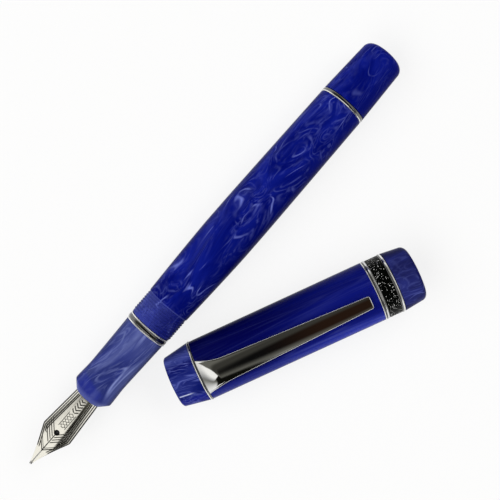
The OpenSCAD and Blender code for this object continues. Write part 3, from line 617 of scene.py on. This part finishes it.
def nib_steel():
    """Satin steel, chased with a border, feather cuts, a ring round the breather hole, a rope and chevrons,
    with painted shade along its edges in the border's outer line.
    """
    f = Finish("nib_steel", Metallic=1.0)
    at = f.local(PEN)
    along, across = f.parts(at)[:2]
    side = f.math("ABSOLUTE", across)
    rim = f.attribute("rim")

    def cut(value, middle, half):
        away = f.apart(value, middle)
        return f.ramp(away, half * 0.6, half, 1.0, 0.0)

    def within(value, first, last):
        soft = 0.05
        return f.times(f.ramp(value, first - soft, first + soft), f.ramp(value, last - soft, last + soft, 1, 0))

    inside = f.ramp(rim, 0.5, 0.6)
    # The border's lines near the edge are engraving; the outer one is also painted shade along the nib's edge.
    border_and_edge_shade = f.times(f.most(cut(rim, 0.12, 0.24), cut(rim, 0.68, 0.14)), f.ramp(along, 4.6, 5.4))
    border_and_edge_shade = f.most(border_and_edge_shade, f.times(f.most(cut(rim, 1.2, 0.16), cut(rim, 1.62, 0.12)),
                                    within(along, 8.6, 20.8)))
    vee = f.math("SUBTRACT", along, side)
    points = f.times(f.most(cut(vee, 4.6, 0.17), cut(vee, 5.15, 0.11)), inside)
    feathers = f.times(f.lines(f.math("DIVIDE", vee, 0.82), 1.0, 0.24), within(vee, 6.6, 9.9),
                       f.ramp(side, 0.25, 0.35), inside)
    slit = f.times(cut(side, 0.0, 0.12), f.ramp(along, 10.0, 10.2, 1, 0))
    ring = cut(f.reach(f.math("SUBTRACT", along, NIB_HOLE), side), 0.56, 0.16)
    wave = f.times(f.math("SINE", f.times(along, 3.9)), 0.55)
    rope = f.most(cut(f.math("SUBTRACT", across, wave), 0.0, 0.16),
                  cut(f.math("ADD", across, wave), 0.0, 0.16))
    rope = f.times(f.most(rope, cut(side, 0.9, 0.1)), f.times(within(along, 12.0, 16.2), 0.7))
    arrow = f.math("SUBTRACT", along, f.times(side, 0.8))
    chevrons = f.times(f.lines(f.math("DIVIDE", arrow, 0.85), 1.0, 0.27), within(along, 16.6, 20.4),
                       f.ramp(side, 0.8, 0.9, 1, 0))
    tip = f.ramp(along, 0.4, 1.1, 0.8, 0.0)
    # Every dark mark: the darkened tip, the cuts and the painted edge shade.
    cuts_and_edge_shade = f.most(tip, border_and_edge_shade, points, feathers, slit, ring, rope, chevrons)

    brushed = f.noise(f.stretched(at, (0.6, 7.0, 7.0)), 1.2, 3.0, 0.6)
    plain = f.blend(f.ramp(brushed, *MIDDLE), chosen("steel", 0.93), chosen("steel"))
    f.set(Base_Color=f.blend(cuts_and_edge_shade, plain, (0.02, 0.018, 0.015)))
    f.set(Roughness=f.math("ADD", f.ramp(brushed, *MIDDLE, 0.1, 0.16), f.times(cuts_and_edge_shade, 0.3)))
    f.bump(f.math("SUBTRACT", f.times(brushed, 0.1), cuts_and_edge_shade), 0.05)
    return f.material


def tipping_metal():
    return polished("tipping_metal", PEN, (0.09, 0.09, 0.09), (0.1, 0.2), (3.0, 3.0, 3.0))


def brass():
    return polished("brass", PEN, chosen("brass"), BRASS_ROUGH, BRASS_GRAIN)


def cap_brass():
    return polished("cap_brass", CAP, chosen("brass"), BRASS_ROUGH, BRASS_GRAIN)


def moulded(name, place, tint, rough, speck=0.01):
    """Moulded plastic or rubber with a fine even grain."""
    f = Finish(name, Specular_IOR_Level=0.4)
    at = f.local(place)
    grain = f.noise(at, 9.0, 3.0, 0.6)
    flow = f.noise(f.stretched(at, (0.3, 1, 1)), 0.6, 3.0)
    f.set(Base_Color=f.blend(f.ramp(flow, *MIDDLE), tint, tuple(v * 1.6 + 0.004 for v in tint)))
    f.set(Roughness=f.ramp(grain, *MIDDLE, *rough))
    f.bump(grain, speck)
    return f.material


def feed_plastic():
    return moulded("feed_plastic", PEN, chosen("black"), (0.3, 0.45))


def black_plastic():
    return moulded("black_plastic", PEN, chosen("black"), (0.28, 0.42))


def liner_plastic():
    return moulded("liner_plastic", CAP, chosen("black"), (0.35, 0.5))


def seal_rubber():
    return moulded("seal_rubber", PEN, (0.01, 0.01, 0.01), (0.55, 0.75), 0.015)


def clear_plastic():
    """Clear moulded tube, slightly tinted and hazed."""
    f = Finish("clear_plastic", IOR=1.49, Transmission_Weight=1.0)
    at = f.local(PEN)
    flow = f.noise(f.stretched(at, (0.2, 1, 1)), 0.8, 3.0)
    f.set(Base_Color=f.blend(f.ramp(flow, *MIDDLE), (0.9, 0.93, 0.96), (0.96, 0.97, 0.98)))
    f.set(Roughness=f.ramp(f.noise(at, 1.5, 3.0), *MIDDLE, 0.03, 0.08))
    f.bump(flow, 0.01)
    return f.material


def band_metal():
    """Oxidised metal whose grain is rubbed bright on its crests."""
    f = Finish("band_metal", Metallic=1.0)
    at = f.local(CAP)
    crest = f.attribute("crest")
    worn = f.noise(at, 5.0, 3.0, 0.6)
    bright = f.ramp(f.math("ADD", crest, f.times(f.math("SUBTRACT", worn, 0.5), 0.7)), 0.54, 0.68)
    f.set(Base_Color=f.blend(bright, (0.006, 0.007, 0.006), (0.95, 0.95, 0.93)))
    f.set(Metallic=f.ramp(bright, 0.0, 1.0, 1.0, 0.1), Roughness=f.ramp(bright, 0.0, 1.0, 0.5, 0.28))
    f.bump(worn, 0.02)
    return f.material


# Pieces

def nib_half(x):
    """Half the nib's width, seen from above."""
    tip, shoulder, rounding = 0.225, 4.1, 0.07
    if x >= SECTION_AT:
        return NIB_ROOT
    front = mix(tip, shoulder, (x / NIB_SHOULDER) ** 1.28)
    rear = mix(shoulder, NIB_ROOT, (x - NIB_SHOULDER) / (SECTION_AT - NIB_SHOULDER))
    return -rounding * math.log(math.exp(-front / rounding) + math.exp(-rear / rounding))


def nib_point(x, y):
    """Point of the nib's outer surface over a point in its plan."""
    drop, tip_curve = 2.85, 8.5
    ridge = NIB_ROOT - drop * max(0, 1 - x / SECTION_AT) ** 1.08
    r = mix(tip_curve, NIB_ROOT, min(1, x / SECTION_AT))
    y = min(y, r)
    return (x, y, ridge - r + math.sqrt(max(0, r * r - y * y)))


class PEN_OT_nib(bpy.types.Operator):
    """Makes the nib with its slit, breather hole and pellet"""
    bl_idname = "pen.nib"
    bl_label = "Nib"

    def execute(self, context):
        s = context.scene.pen_shape
        slit, hole = s.slit_width / MM / 2, s.breather / MM / 2
        start, point_end, end, slit_tip = 0.34, 2.0, 30, 0.02
        rows = spread((start, point_end, NIB_HOLE - hole, NIB_HOLE + hole, SECTION_AT, end),
                      (14, 46, 32, 50, 8))
        columns = 22

        def inner(x):
            """Half the slit's width, or the edge of the breather hole."""
            gap = mix(slit_tip, slit, x / NIB_HOLE)
            if x <= NIB_HOLE - hole:
                return gap
            round_edge = math.sqrt(max(0, hole * hole - (x - NIB_HOLE) ** 2))
            return max(gap, round_edge) if x < NIB_HOLE else round_edge

        def point(row, column):
            x = rows[row]
            return nib_point(x, mix(inner(x), nib_half(x), column / columns))

        bm = mapped_grid(len(rows) - 1, columns, point)
        bmesh.ops.mirror(bm, geom=bm.verts[:] + bm.edges[:] + bm.faces[:], merge_dist=1e-4, axis="Y")
        close_up(bm)
        if sum(face.normal.z for face in bm.faces) < 0:
            bmesh.ops.reverse_faces(bm, faces=bm.faces)
        bmesh.ops.solidify(bm, geom=bm.faces[:], thickness=s.nib_sheet / MM)
        break_edges(bm, 0.05, 60)
        finished(bm, "nib_leaf", "section", nib_steel, "nib",
                 marks={"rim": lambda co: nib_half(max(0, co.x)) - abs(co.y)})
        pellet = node_copy("nib_tipping")
        finished(pellet, "nib_pellet", "section", tipping_metal, "nib_tipping", sharp=50)
        return {"FINISHED"}


class PEN_OT_feed(bpy.types.Operator):
    """Makes the finned feed under the nib"""
    bl_idname = "pen.feed"
    bl_label = "Feed"

    def execute(self, context):
        feed = node_copy("feed", 0.03)
        finished(feed, "feed_comb", "section", feed_plastic, "feed")
        return {"FINISHED"}


def rounded_ring(first, last, outer, inner, edge):
    """Ring between two stations, with both outer edges rounded."""
    return turned([(first, inner)] + arc(first + edge, outer - edge, edge, edge, 180, 90, 8)
                  + arc(last - edge, outer - edge, edge, edge, 90, 0, 8) + [(last, inner)])


class PEN_OT_section(bpy.types.Operator):
    """Makes the grip section with its ring, threaded tenon and seal"""
    bl_idname = "pen.section"
    bl_label = "Section"

    def execute(self, context):
        s = context.scene.pen_shape
        front, narrow, rear = 5.29, 5.07, 5.4
        nose_end, waist, end = 2.0, 7.2, RING_AT - SECTION_AT
        nose_drop, nose_steps = 1.8, 20
        nib_bore, ink_bore, tenon_hole = 2.91, 0.9, 4.28

        def radius(x):
            """Grip's radius, drawn in at its waist, from its own front end."""
            if x < waist:
                return mix(front, narrow, ease((x - nose_end) / (waist - nose_end)))
            return mix(narrow, rear, ((x - waist) / (end - waist)) ** 1.15)

        nose = [(SECTION_AT + nose_end * i / nose_steps, front - nose_drop * (1 - i / nose_steps) ** 1.12)
                for i in range(nose_steps + 1)]
        outside = [(SECTION_AT + x, radius(x)) for x in spread((nose_end, end), (64,))[1:]]
        sockets = [(RING_AT, tenon_hole), (TENON_AT, tenon_hole), (TENON_AT, TENON_BORE),
                   (CONVERTER_SEAT, TENON_BORE), (CONVERTER_SEAT, ink_bore), (NIB_SEAT, ink_bore),
                   (NIB_SEAT, nib_bore)]
        grip = [(SECTION_AT, nib_bore)] + nose + outside + sockets
        lathe(grip, s.edge_break / MM, "section_grip", "section", section_resin, "section")
        beads = [arc(middle, 5.43, 0.18, 0.18, 180, 0, 12) for middle in RING_BEADS]
        trim = turned([(RING_AT, 4.32)] + beads[0] + arc(42.66, 5.41, 0.46, 0.2, 180, 0, 24) + beads[1]
                      + [(RING_END, 4.32)])
        finished(trim, "section_trim", "ring", ring_chrome, "section_ring", "chrome")
        shank, root, tip = 4.24, 4.06, 51.6
        core = [(TENON_AT, TENON_BORE), (TENON_AT, shank), (44.0, shank), (44.3, root), (51.3, root),
                (tip, 3.86), (tip, TENON_BORE)]
        lathe(core, 0.05, "tenon_core", "section", brass, "section_tenon")
        ridge = thread(44.8, 51.0, s.tenon_pitch / MM, 4.04, 4.26)
        finished(ridge, "tenon_thread", "section", brass, sharp=25)
        cord = 0.33
        seal = turned(arc(44.01, 4.65, cord, cord, 0, 345, 23))
        finished(seal, "sealing_ring", "seal", seal_rubber, "section_seal", sharp=60)
        return {"FINISHED"}


class PEN_OT_barrel(bpy.types.Operator):
    """Makes the barrel with its cap thread and the brass bush in its mouth"""
    bl_idname = "pen.barrel"
    bl_label = "Barrel"

    def execute(self, context):
        s = context.scene.pen_shape
        belly, front, rear = 6.35, 5.72, 5.97
        land_end, belly_at, belly_end, end = 6.6, 27.4, 34.6, 69.0
        bore, bush_hole, seal_hole, land = 4.22, 4.74, 5.04, 5.55
        bore_end, stud_floor = 107.6, 108.4

        def radius(x):
            """Barrel's radius, fullest at its belly, from its own front end."""
            if x < belly_at:
                return mix(belly, front, ((belly_at - x) / (belly_at - land_end)) ** 1.3)
            return mix(belly, rear, (max(0, x - belly_end) / (end - belly_end)) ** 1.15)

        stations = spread((land_end, belly_at, belly_end, end), (40, 6, 60))
        outside = [(BARREL_AT + x, radius(x)) for x in stations]
        inside = [(bore_end, 0), (bore_end, bore), (BUSH_END, bore), (BUSH_END, bush_hole),
                  (BUSH_AT, bush_hole), (BUSH_AT, seal_hole), (BARREL_AT, seal_hole)]
        mouth = [(BARREL_AT, 5.4), (43.75, land), (50.03, land)]
        rear_end = [(TAIL_RING_AT, TAIL_STUD), (stud_floor, TAIL_STUD), (stud_floor, 0)]
        barrel = inside + mouth + outside + rear_end
        lathe(barrel, s.edge_break / MM, "barrel_body", "barrel", barrel_resin, "barrel")
        ridge = thread(44.2, 49.7, s.cap_thread_pitch / MM, 5.53, s.cap_thread_crest / MM, 0.3)
        finished(ridge, "barrel_thread", "barrel", barrel_resin, sharp=25)
        low, high = 4.32, 4.72
        bush = [(BUSH_AT, low), (BUSH_AT, high), (BUSH_END, high), (BUSH_END, low)]
        lathe(bush, 0.08, "barrel_liner", "barrel", brass, "barrel_bush")
        return {"FINISHED"}


class PEN_OT_tail(bpy.types.Operator):
    """Makes the tail cap and its polished ring"""
    bl_idname = "pen.tail"
    bl_label = "Tail"

    def execute(self, context):
        s = context.scene.pen_shape
        ring = rounded_ring(TAIL_RING_AT, TAIL_AT, 6.03, TAIL_STUD, 0.5)
        finished(ring, "tail_trim", "barrel", ring_chrome, "tail_ring", "chrome")
        stud_end, round_end = 118, 2
        tail = [(stud_end, 0), (stud_end, TAIL_STUD), (TAIL_AT, TAIL_STUD), (TAIL_AT, 5.97)]
        tail += arc(PEN_LENGTH - round_end, 3.45, round_end, round_end, 90, 0, 24) + [(PEN_LENGTH, 0)]
        lathe(tail, s.edge_break / MM, "tail_end", "barrel", barrel_resin, "tail_cap")
        dress("tail_stud", brass)
        return {"FINISHED"}


class PEN_OT_converter(bpy.types.Operator):
    """Makes the screw converter: ink tube, sleeve, guide, knob, rod, piston and mixing ball"""
    bl_idname = "pen.converter"
    bl_label = "Converter"

    def execute(self, context):
        mouth, bore, outside = 1.92, 2.95, 3.6
        start, neck, end = 31.76, 36.76, 73.76
        tube = [(start, mouth), (start, 3.45), (31.91, outside), (end, outside), (end, bore), (neck, bore),
                (neck, mouth)]
        lathe(tube, 0.06, "converter_tube", "section", clear_plastic, "ink_tube", steps=CONVERTER_STEPS)
        bore, side, bead = 3.62, 3.87, 3.995
        start, end = 61.76, 77.76
        sleeve = [(start, bore), (start, bead), (62.26, bead), (62.51, side), (end, side), (end, bore)]
        lathe(sleeve, 0.05, "converter_sleeve", "section", pen_chrome, "ink_tube_sleeve", "chrome",
              steps=CONVERTER_STEPS)
        for node, name, body in (
            ("rod_guide", "converter_guide", "section"),
            ("converter_knob", "converter_grip", "knob"),
            ("piston_rod", "piston_stem", "piston"),
        ):
            finished(node_copy(node, 0.05), name, body, black_plastic, node)
        start, end, waist, lip = 54.92, 60.52, 2.24, 2.89
        seal = turned([(start, 0), (start, waist), (55.62, lip), (56.32, lip), (57.02, waist), (58.42, waist),
                       (59.12, lip), (59.82, lip), (end, waist), (end, 0)], CONVERTER_STEPS)
        break_edges(seal, 0.12, 20, 3)
        finished(seal, "piston_head", "piston", seal_rubber, "piston_seal")
        dress("mixing_ball", pen_chrome)
        return {"FINISHED"}


class PEN_OT_cap(bpy.types.Operator):
    """Makes the cap tube with its inner thread, inner cap and lip"""
    bl_idname = "pen.cap"
    bl_label = "Cap"

    def execute(self, context):
        s = context.scene.pen_shape
        edge = s.edge_break / MM
        liner_hole, liner_stop, spigot, spigot_end = 6.32, 33.06, 6.6, 61.72
        tube = [(CAP_TUBE_AT, liner_hole), (CAP_TUBE_AT, CAP_ROOT), (BAND_AT, CAP_SIDE), (BAND_AT, spigot),
                (spigot_end, spigot), (spigot_end, CAP_BORE), (liner_stop, CAP_BORE), (liner_stop, liner_hole)]
        lathe(tube, edge, "cap_body", "cap", cap_resin, "cap_tube")
        ridge = thread(53.5, 59.6, s.cap_thread_pitch / MM, 5.87, 5.77, 0.3)
        finished(ridge, "cap_thread", "cap", cap_resin, sharp=25)
        outside, start, stud_end, floor, end = 6.3, 7.78, 9.78, 10.98, 32.98
        liner = [(stud_end, 0), (stud_end, CAP_STUD), (start, CAP_STUD), (start, outside), (end, outside),
                 (end, CAP_BORE), (floor, CAP_BORE), (floor, 0)]
        lathe(liner, edge, "cap_liner", "cap", liner_plastic, "inner_cap", "black_plastic")
        round_end, step = 1.5, 61.8
        lip = [(LIP_AT, BAND_SEAT), (LIP_AT, CAP_SIDE)] + arc(61.925, 5.4, round_end, round_end, 90, 23.58, 20)
        lip += [(CAP_LENGTH, CAP_BORE), (step, CAP_BORE), (step, BAND_SEAT)]
        lathe(lip, 0.05, "cap_mouth_lip", "cap", lip_resin, "cap_lip", "cap_resin")
        return {"FINISHED"}


class PEN_OT_finial(bpy.types.Operator):
    """Makes the finial and the ring that holds the clip"""
    bl_idname = "pen.finial"
    bl_label = "Finial"

    def execute(self, context):
        rise, reach, steps, stud_floor = 0.5, 5.94, 16, 3
        dome = [(rise * (i / steps) ** 2, reach * i / steps) for i in range(steps + 1)]
        finial = turned(dome + [(0.8, 6.24), (WASHER_AT, CAP_ROOT), (WASHER_AT, CAP_STUD),
                                (stud_floor, CAP_STUD), (stud_floor, 0)])
        break_edges(finial, 0.09, 25, 3)
        finished(finial, "cap_finial", "cap", finial_resin, "finial", "cap_resin")
        washer = rounded_ring(WASHER_AT, CAP_TUBE_AT, CAP_TRIM, CAP_STUD, 0.3)
        finished(washer, "clip_washer", "cap", cap_chrome, "clip_ring", "chrome")
        dress("finial_stud", cap_brass)
        return {"FINISHED"}


class PEN_OT_band(bpy.types.Operator):
    """Makes the cap's hammered band between its polished rings"""
    bl_idname = "pen.band"
    bl_label = "Band"

    def execute(self, context):
        s = context.scene.pen_shape
        upper = turned([(BAND_AT, BAND_SEAT)] + arc(52.38, 7.27, 0.18, 0.18, 180, 0, 12)
                       + arc(52.98, 7.15, 0.42, 0.3, 180, 0, 20) + [(FIELD_AT, BAND_SEAT)])
        finished(upper, "band_double_ring", "cap", cap_chrome, "band_upper_ring", "chrome")
        lower = rounded_ring(FIELD_END, LIP_AT, CAP_TRIM, BAND_SEAT, 0.42)
        finished(lower, "band_plain_ring", "cap", cap_chrome, "band_lower_ring", "chrome")
        relief = s.band_relief / MM
        floor, brim = 7.27, 7.3
        field = spread((53.46, 56.44), (44,))
        band = turned([(FIELD_AT, BAND_SEAT), (FIELD_AT, brim)] + [(x, floor) for x in field]
                      + [(FIELD_END, brim), (FIELD_END, BAND_SEAT)], BAND_STEPS)

        def grain(co):
            """Height of the hammered grain, from 0 in its pits to 1 on its crests."""
            near = noise.voronoi(Vector(co) * 2.9)[0][0]
            return ease(1.3 - near * 2.5) * (0.75 + 0.6 * noise.noise(Vector(co) * 2.3))

        inside = [v for v in band.verts if 53.5 < v.co.x < 56.4 and math.hypot(v.co.y, v.co.z) > 7.2]
        for v in inside:
            lift = 1 + relief * grain(v.co) / floor
            v.co.y *= lift
            v.co.z *= lift

        def crest(co):
            """Share of the relief at a point, for the finish."""
            return min(1.0, max(0.0, (math.hypot(co.y, co.z) - floor) / relief))

        finished(band, "band_field", "cap", band_metal, "cap_band", sharp=60, marks={"crest": crest})
        return {"FINISHED"}


class PEN_OT_clip(bpy.types.Operator):
    """Makes the pocket clip from cross-sections along its length"""
    bl_idname = "pen.clip"
    bl_label = "Clip"

    def execute(self, context):
        root, tip, corner_r, pad = 7.78, 50.28, 0.5, 4.4
        rise, flare_end, span = 4, 7, tip - root
        root_top, arm_top, fall = 7.9, 9.28, 0.25
        stations = spread((root, root + flare_end, tip - pad, tip - corner_r), (56, 60, 24))
        stations += [mix(tip - corner_r, tip, math.sin(math.pi / 2 * i / 14)) for i in range(1, 15)]
        top_steps, edge_steps, bevel = 28, 5, 0.24

        def ramp(x):
            """Rise of the arm from its root, from 0 to 1."""
            return math.sin(math.pi / 2 * min(1, (x - root) / rise))

        def corner(x):
            """What the rounded tip takes off each side."""
            d = max(0, x - tip + corner_r)
            return corner_r - math.sqrt(max(0, corner_r ** 2 - d * d))

        def half_width(x):
            flare = 1.15 * max(0, 1 - (x - root) / flare_end) ** 2
            return mix(6.3, 3.1, (x - root) / span) / 2 + flare - corner(x)

        def top(x):
            """Height of the ridge over the cap's axis."""
            ridge = mix(root_top, arm_top - fall * (x - root) / span, ramp(x))
            return ridge - 0.2 * (corner(x) / corner_r) ** 2

        def thickness(x):
            """Thickness of the sheet, with the pad that swells under the tip."""
            t = (tip - x) / pad
            swell = math.sin(math.pi * t) ** 2 * 0.78 if 0 < t < 1 else 0
            return mix(0.5, 0.75, ramp(x)) + swell

        def sag(x, y):
            """Fall of the crowned top towards its sides."""
            r = mix(root_top, 5.0, ramp(x))
            return r - math.sqrt(max(0, r * r - y * y))

        def ring(x):
            """Points round one cross-section, from the left of its top."""
            h, high, low = half_width(x), top(x), top(x) - thickness(x)
            flat = h - bevel
            over = [(y, high - sag(x, y)) for y in spread((-flat, flat), (top_steps,))]
            under = [(y, low - sag(x, y)) for y in spread((flat, -flat), (top_steps // 2,))]
            high_edge, low_edge = over[-1][1] - bevel, under[0][1] + bevel
            turn = [math.pi / 2 * i / edge_steps for i in range(1, edge_steps + 1)]
            right = [(flat + bevel * math.sin(a), high_edge + bevel * math.cos(a)) for a in turn]
            lower = [(flat + bevel * math.cos(a), low_edge - bevel * math.sin(a)) for a in turn]
            left = [(-y, z) for y, z in reversed(right)]
            lower_left = [(-y, z) for y, z in reversed(lower)]
            return (over + right + [(h, low_edge)] + lower + under[1:] + lower_left[1:]
                    + [(-h, low_edge), (-h, high_edge)] + left[1:])

        rings = [ring(x) for x in stations]
        count = len(rings[0])

        def point(row, column):
            y, z = rings[row][column % count]
            return (stations[row], y, z)

        bm = mapped_grid(len(stations) - 1, count, point)
        close_up(bm)
        bmesh.ops.holes_fill(bm, edges=[e for e in bm.edges if e.is_boundary], sides=0)
        bmesh.ops.recalc_face_normals(bm, faces=bm.faces)
        finished(bm, "pocket_clip", "clip", clip_chrome, "clip", sharp=50)
        return {"FINISHED"}


class PEN_OT_stage(bpy.types.Operator):
    """Makes the camera, the floor, the soft lamps and the surroundings"""
    bl_idname = "pen.stage"
    bl_label = "Stage"

    def execute(self, context):
        s = context.scene.pen_stage
        scene = context.scene
        scene.view_settings.view_transform = "Standard"
        lens = bpy.data.cameras.new("camera")
        lens.lens, lens.sensor_width, lens.clip_start = s.lens, 36, 0.01
        camera = bpy.data.objects.new("camera", lens)
        camera.location = (s.middle_x, s.middle_y, s.height)
        camera.rotation_euler = (0, 0, s.roll)
        scene.collection.objects.link(camera)
        scene.camera = camera

        bm = bmesh.new()
        bmesh.ops.create_grid(bm, x_segments=2, y_segments=2, size=4)
        mesh = bpy.data.meshes.new("floor")
        bm.to_mesh(mesh)
        bm.free()
        paper = Finish("floor_paper", Roughness=0.9, Specular_IOR_Level=0.0)
        spot = paper.node("TexCoord").outputs["Object"]
        fibre = paper.noise(spot, 900.0, 2.0)
        tint = tuple(s.floor)
        paper.set(Base_Color=paper.blend(paper.ramp(fibre, *MIDDLE), tuple(0.99 * v for v in tint), tint))
        path = paper.node("LightPath").outputs
        mirrored = paper.most(path["Is Glossy Ray"], path["Is Transmission Ray"])
        reach = paper.node("VectorMath", {0: spot}, operation="LENGTH").outputs["Value"]
        direct = paper.times(path["Is Camera Ray"], paper.ramp(reach, 0.1, 0.5, 0.8, 1.0))
        seen = paper.most(direct, paper.times(mirrored, 0.25))
        glow = paper.node("Emission", {"Color": (1.0, 1.0, 1.0), "Strength": 1.0})
        both = paper.node("MixShader", {0: seen, 1: paper.shader.outputs[0], 2: glow.outputs[0]})
        paper.plug(paper.out.inputs["Surface"], both.outputs[0])
        mesh.materials.append(paper.material)
        floor = bpy.data.objects.new("floor", mesh)
        scene.collection.objects.link(floor)

        lamp_away = 2.0
        for name, power, toward, height, wide, tall in (
            ("key_lamp", s.key, Vector((-0.9, 0.43, 0)), 52, 3.0, 1.3),
            ("fill_lamp", s.fill, Vector((0.98, -0.21, 0)), 46, 1.6, 1.2),
        ):
            lamp = bpy.data.lights.new(name, "AREA")
            lamp.shape, lamp.size, lamp.size_y, lamp.energy = "RECTANGLE", wide, tall, power
            thing = bpy.data.objects.new(name, lamp)
            rise = math.radians(height)
            away = toward.normalized() * math.cos(rise) + Vector((0, 0, math.sin(rise)))
            thing.location = away * lamp_away
            thing.rotation_euler = away.to_track_quat("Z", "Y").to_euler()
            thing.visible_camera = False
            thing.visible_glossy = False
            scene.collection.objects.link(thing)

        world = bpy.data.worlds.new("surroundings")
        world.use_nodes = True
        w = Web(world.node_tree)
        way = w.node("TexCoord").outputs["Generated"]
        east, north, high = w.parts(way)

        # Pale walls, a dark patch of ceiling over the clip, high windows beyond the finial, the cap's mouth and
        # the nib, and a dark post beside the last one
        def bearing(x, y):
            """How far a direction points along a level one."""
            return w.math("ADD", w.times(east, x), w.times(north, y))

        walls = w.blend(w.ramp(high, 0.0, 0.46), (0.88, 0.88, 0.87), (0.13, 0.128, 0.11))
        walls = w.blend(w.ramp(high, 0.78, 0.95), walls, (0.04, 0.039, 0.033))
        cap_way, cap_side = bearing(0.912, -0.411), bearing(0.411, 0.912)
        across = w.math("DIVIDE", w.math("SUBTRACT", cap_way, 0.06), 0.155)
        along = w.math("DIVIDE", w.math("ADD", cap_side, 0.4), 0.4)
        ceiling = w.blend(w.ramp(cap_way, -0.03, 0.06), (0.004, 0.004, 0.004), (0.02, 0.01, 0.006))
        room = w.blend(w.ramp(w.reach(across, along), 0.65, 1.5, 1.0, 0.0), walls, ceiling)
        finial_window = w.ramp(cap_way, -0.6, -0.66)
        mouth_window = w.ramp(cap_way, 0.42, 0.5)
        nib_window = w.times(w.ramp(east, -0.4, -0.48), w.ramp(north, -0.48, -0.41))
        windows = w.most(finial_window, mouth_window, nib_window)
        windows = w.times(windows, w.ramp(high, 0.36, 0.46))
        glass = w.blend(w.ramp(high, 0.4, 0.68), (0.3, 0.3, 0.3), (1.0, 0.99, 0.96))
        room = w.blend(windows, room, glass)
        post = w.times(w.ramp(east, -0.38, -0.43), w.ramp(east, -0.74, -0.66), w.ramp(north, -0.41, -0.48))
        room = w.blend(post, room, (0.004, 0.004, 0.003))

        seen = w.node("LightPath").outputs["Is Camera Ray"]
        sky = w.node("Background", {"Color": w.blend(seen, room, (1.0, 1.0, 1.0))})
        w.node("OutputWorld", {"Surface": sky.outputs[0]})
        scene.world = world
        return {"FINISHED"}


class PEN_PT_panel(bpy.types.Panel):
    """Lists the pieces and their settings"""
    bl_idname = "PEN_PT_panel"
    bl_label = "Fountain pen"
    bl_space_type = "VIEW_3D"
    bl_region_type = "UI"
    bl_category = "Pen"

    def draw(self, context):
        for group in (context.scene.pen_shape, context.scene.pen_finish, context.scene.pen_stage):
            box = self.layout.box()
            for key in group.__annotations__:
                box.prop(group, key)
        for operator in OPERATORS:
            self.layout.operator(operator.bl_idname)


GROUPS = {"pen_shape": PenShape, "pen_finish": PenFinish, "pen_stage": PenStage}
OPERATORS = (PEN_OT_stage, PEN_OT_nib, PEN_OT_feed, PEN_OT_section, PEN_OT_barrel, PEN_OT_tail,
             PEN_OT_converter, PEN_OT_cap, PEN_OT_finial, PEN_OT_band, PEN_OT_clip)
CLASSES = (*GROUPS.values(), *OPERATORS, PEN_PT_panel)


def register():
    for cls in CLASSES:
        bpy.utils.register_class(cls)
    for key, group in GROUPS.items():
        setattr(bpy.types.Scene, key, bpy.props.PointerProperty(type=group))


def unregister():
    for key in GROUPS:
        delattr(bpy.types.Scene, key)
    for cls in reversed(CLASSES):
        bpy.utils.unregister_class(cls)


def main():
    register()
    for operator in OPERATORS:
        family, name = operator.bl_idname.split(".")
        getattr(getattr(bpy.ops, family), name)()


if __name__ == "__main__":
    main()
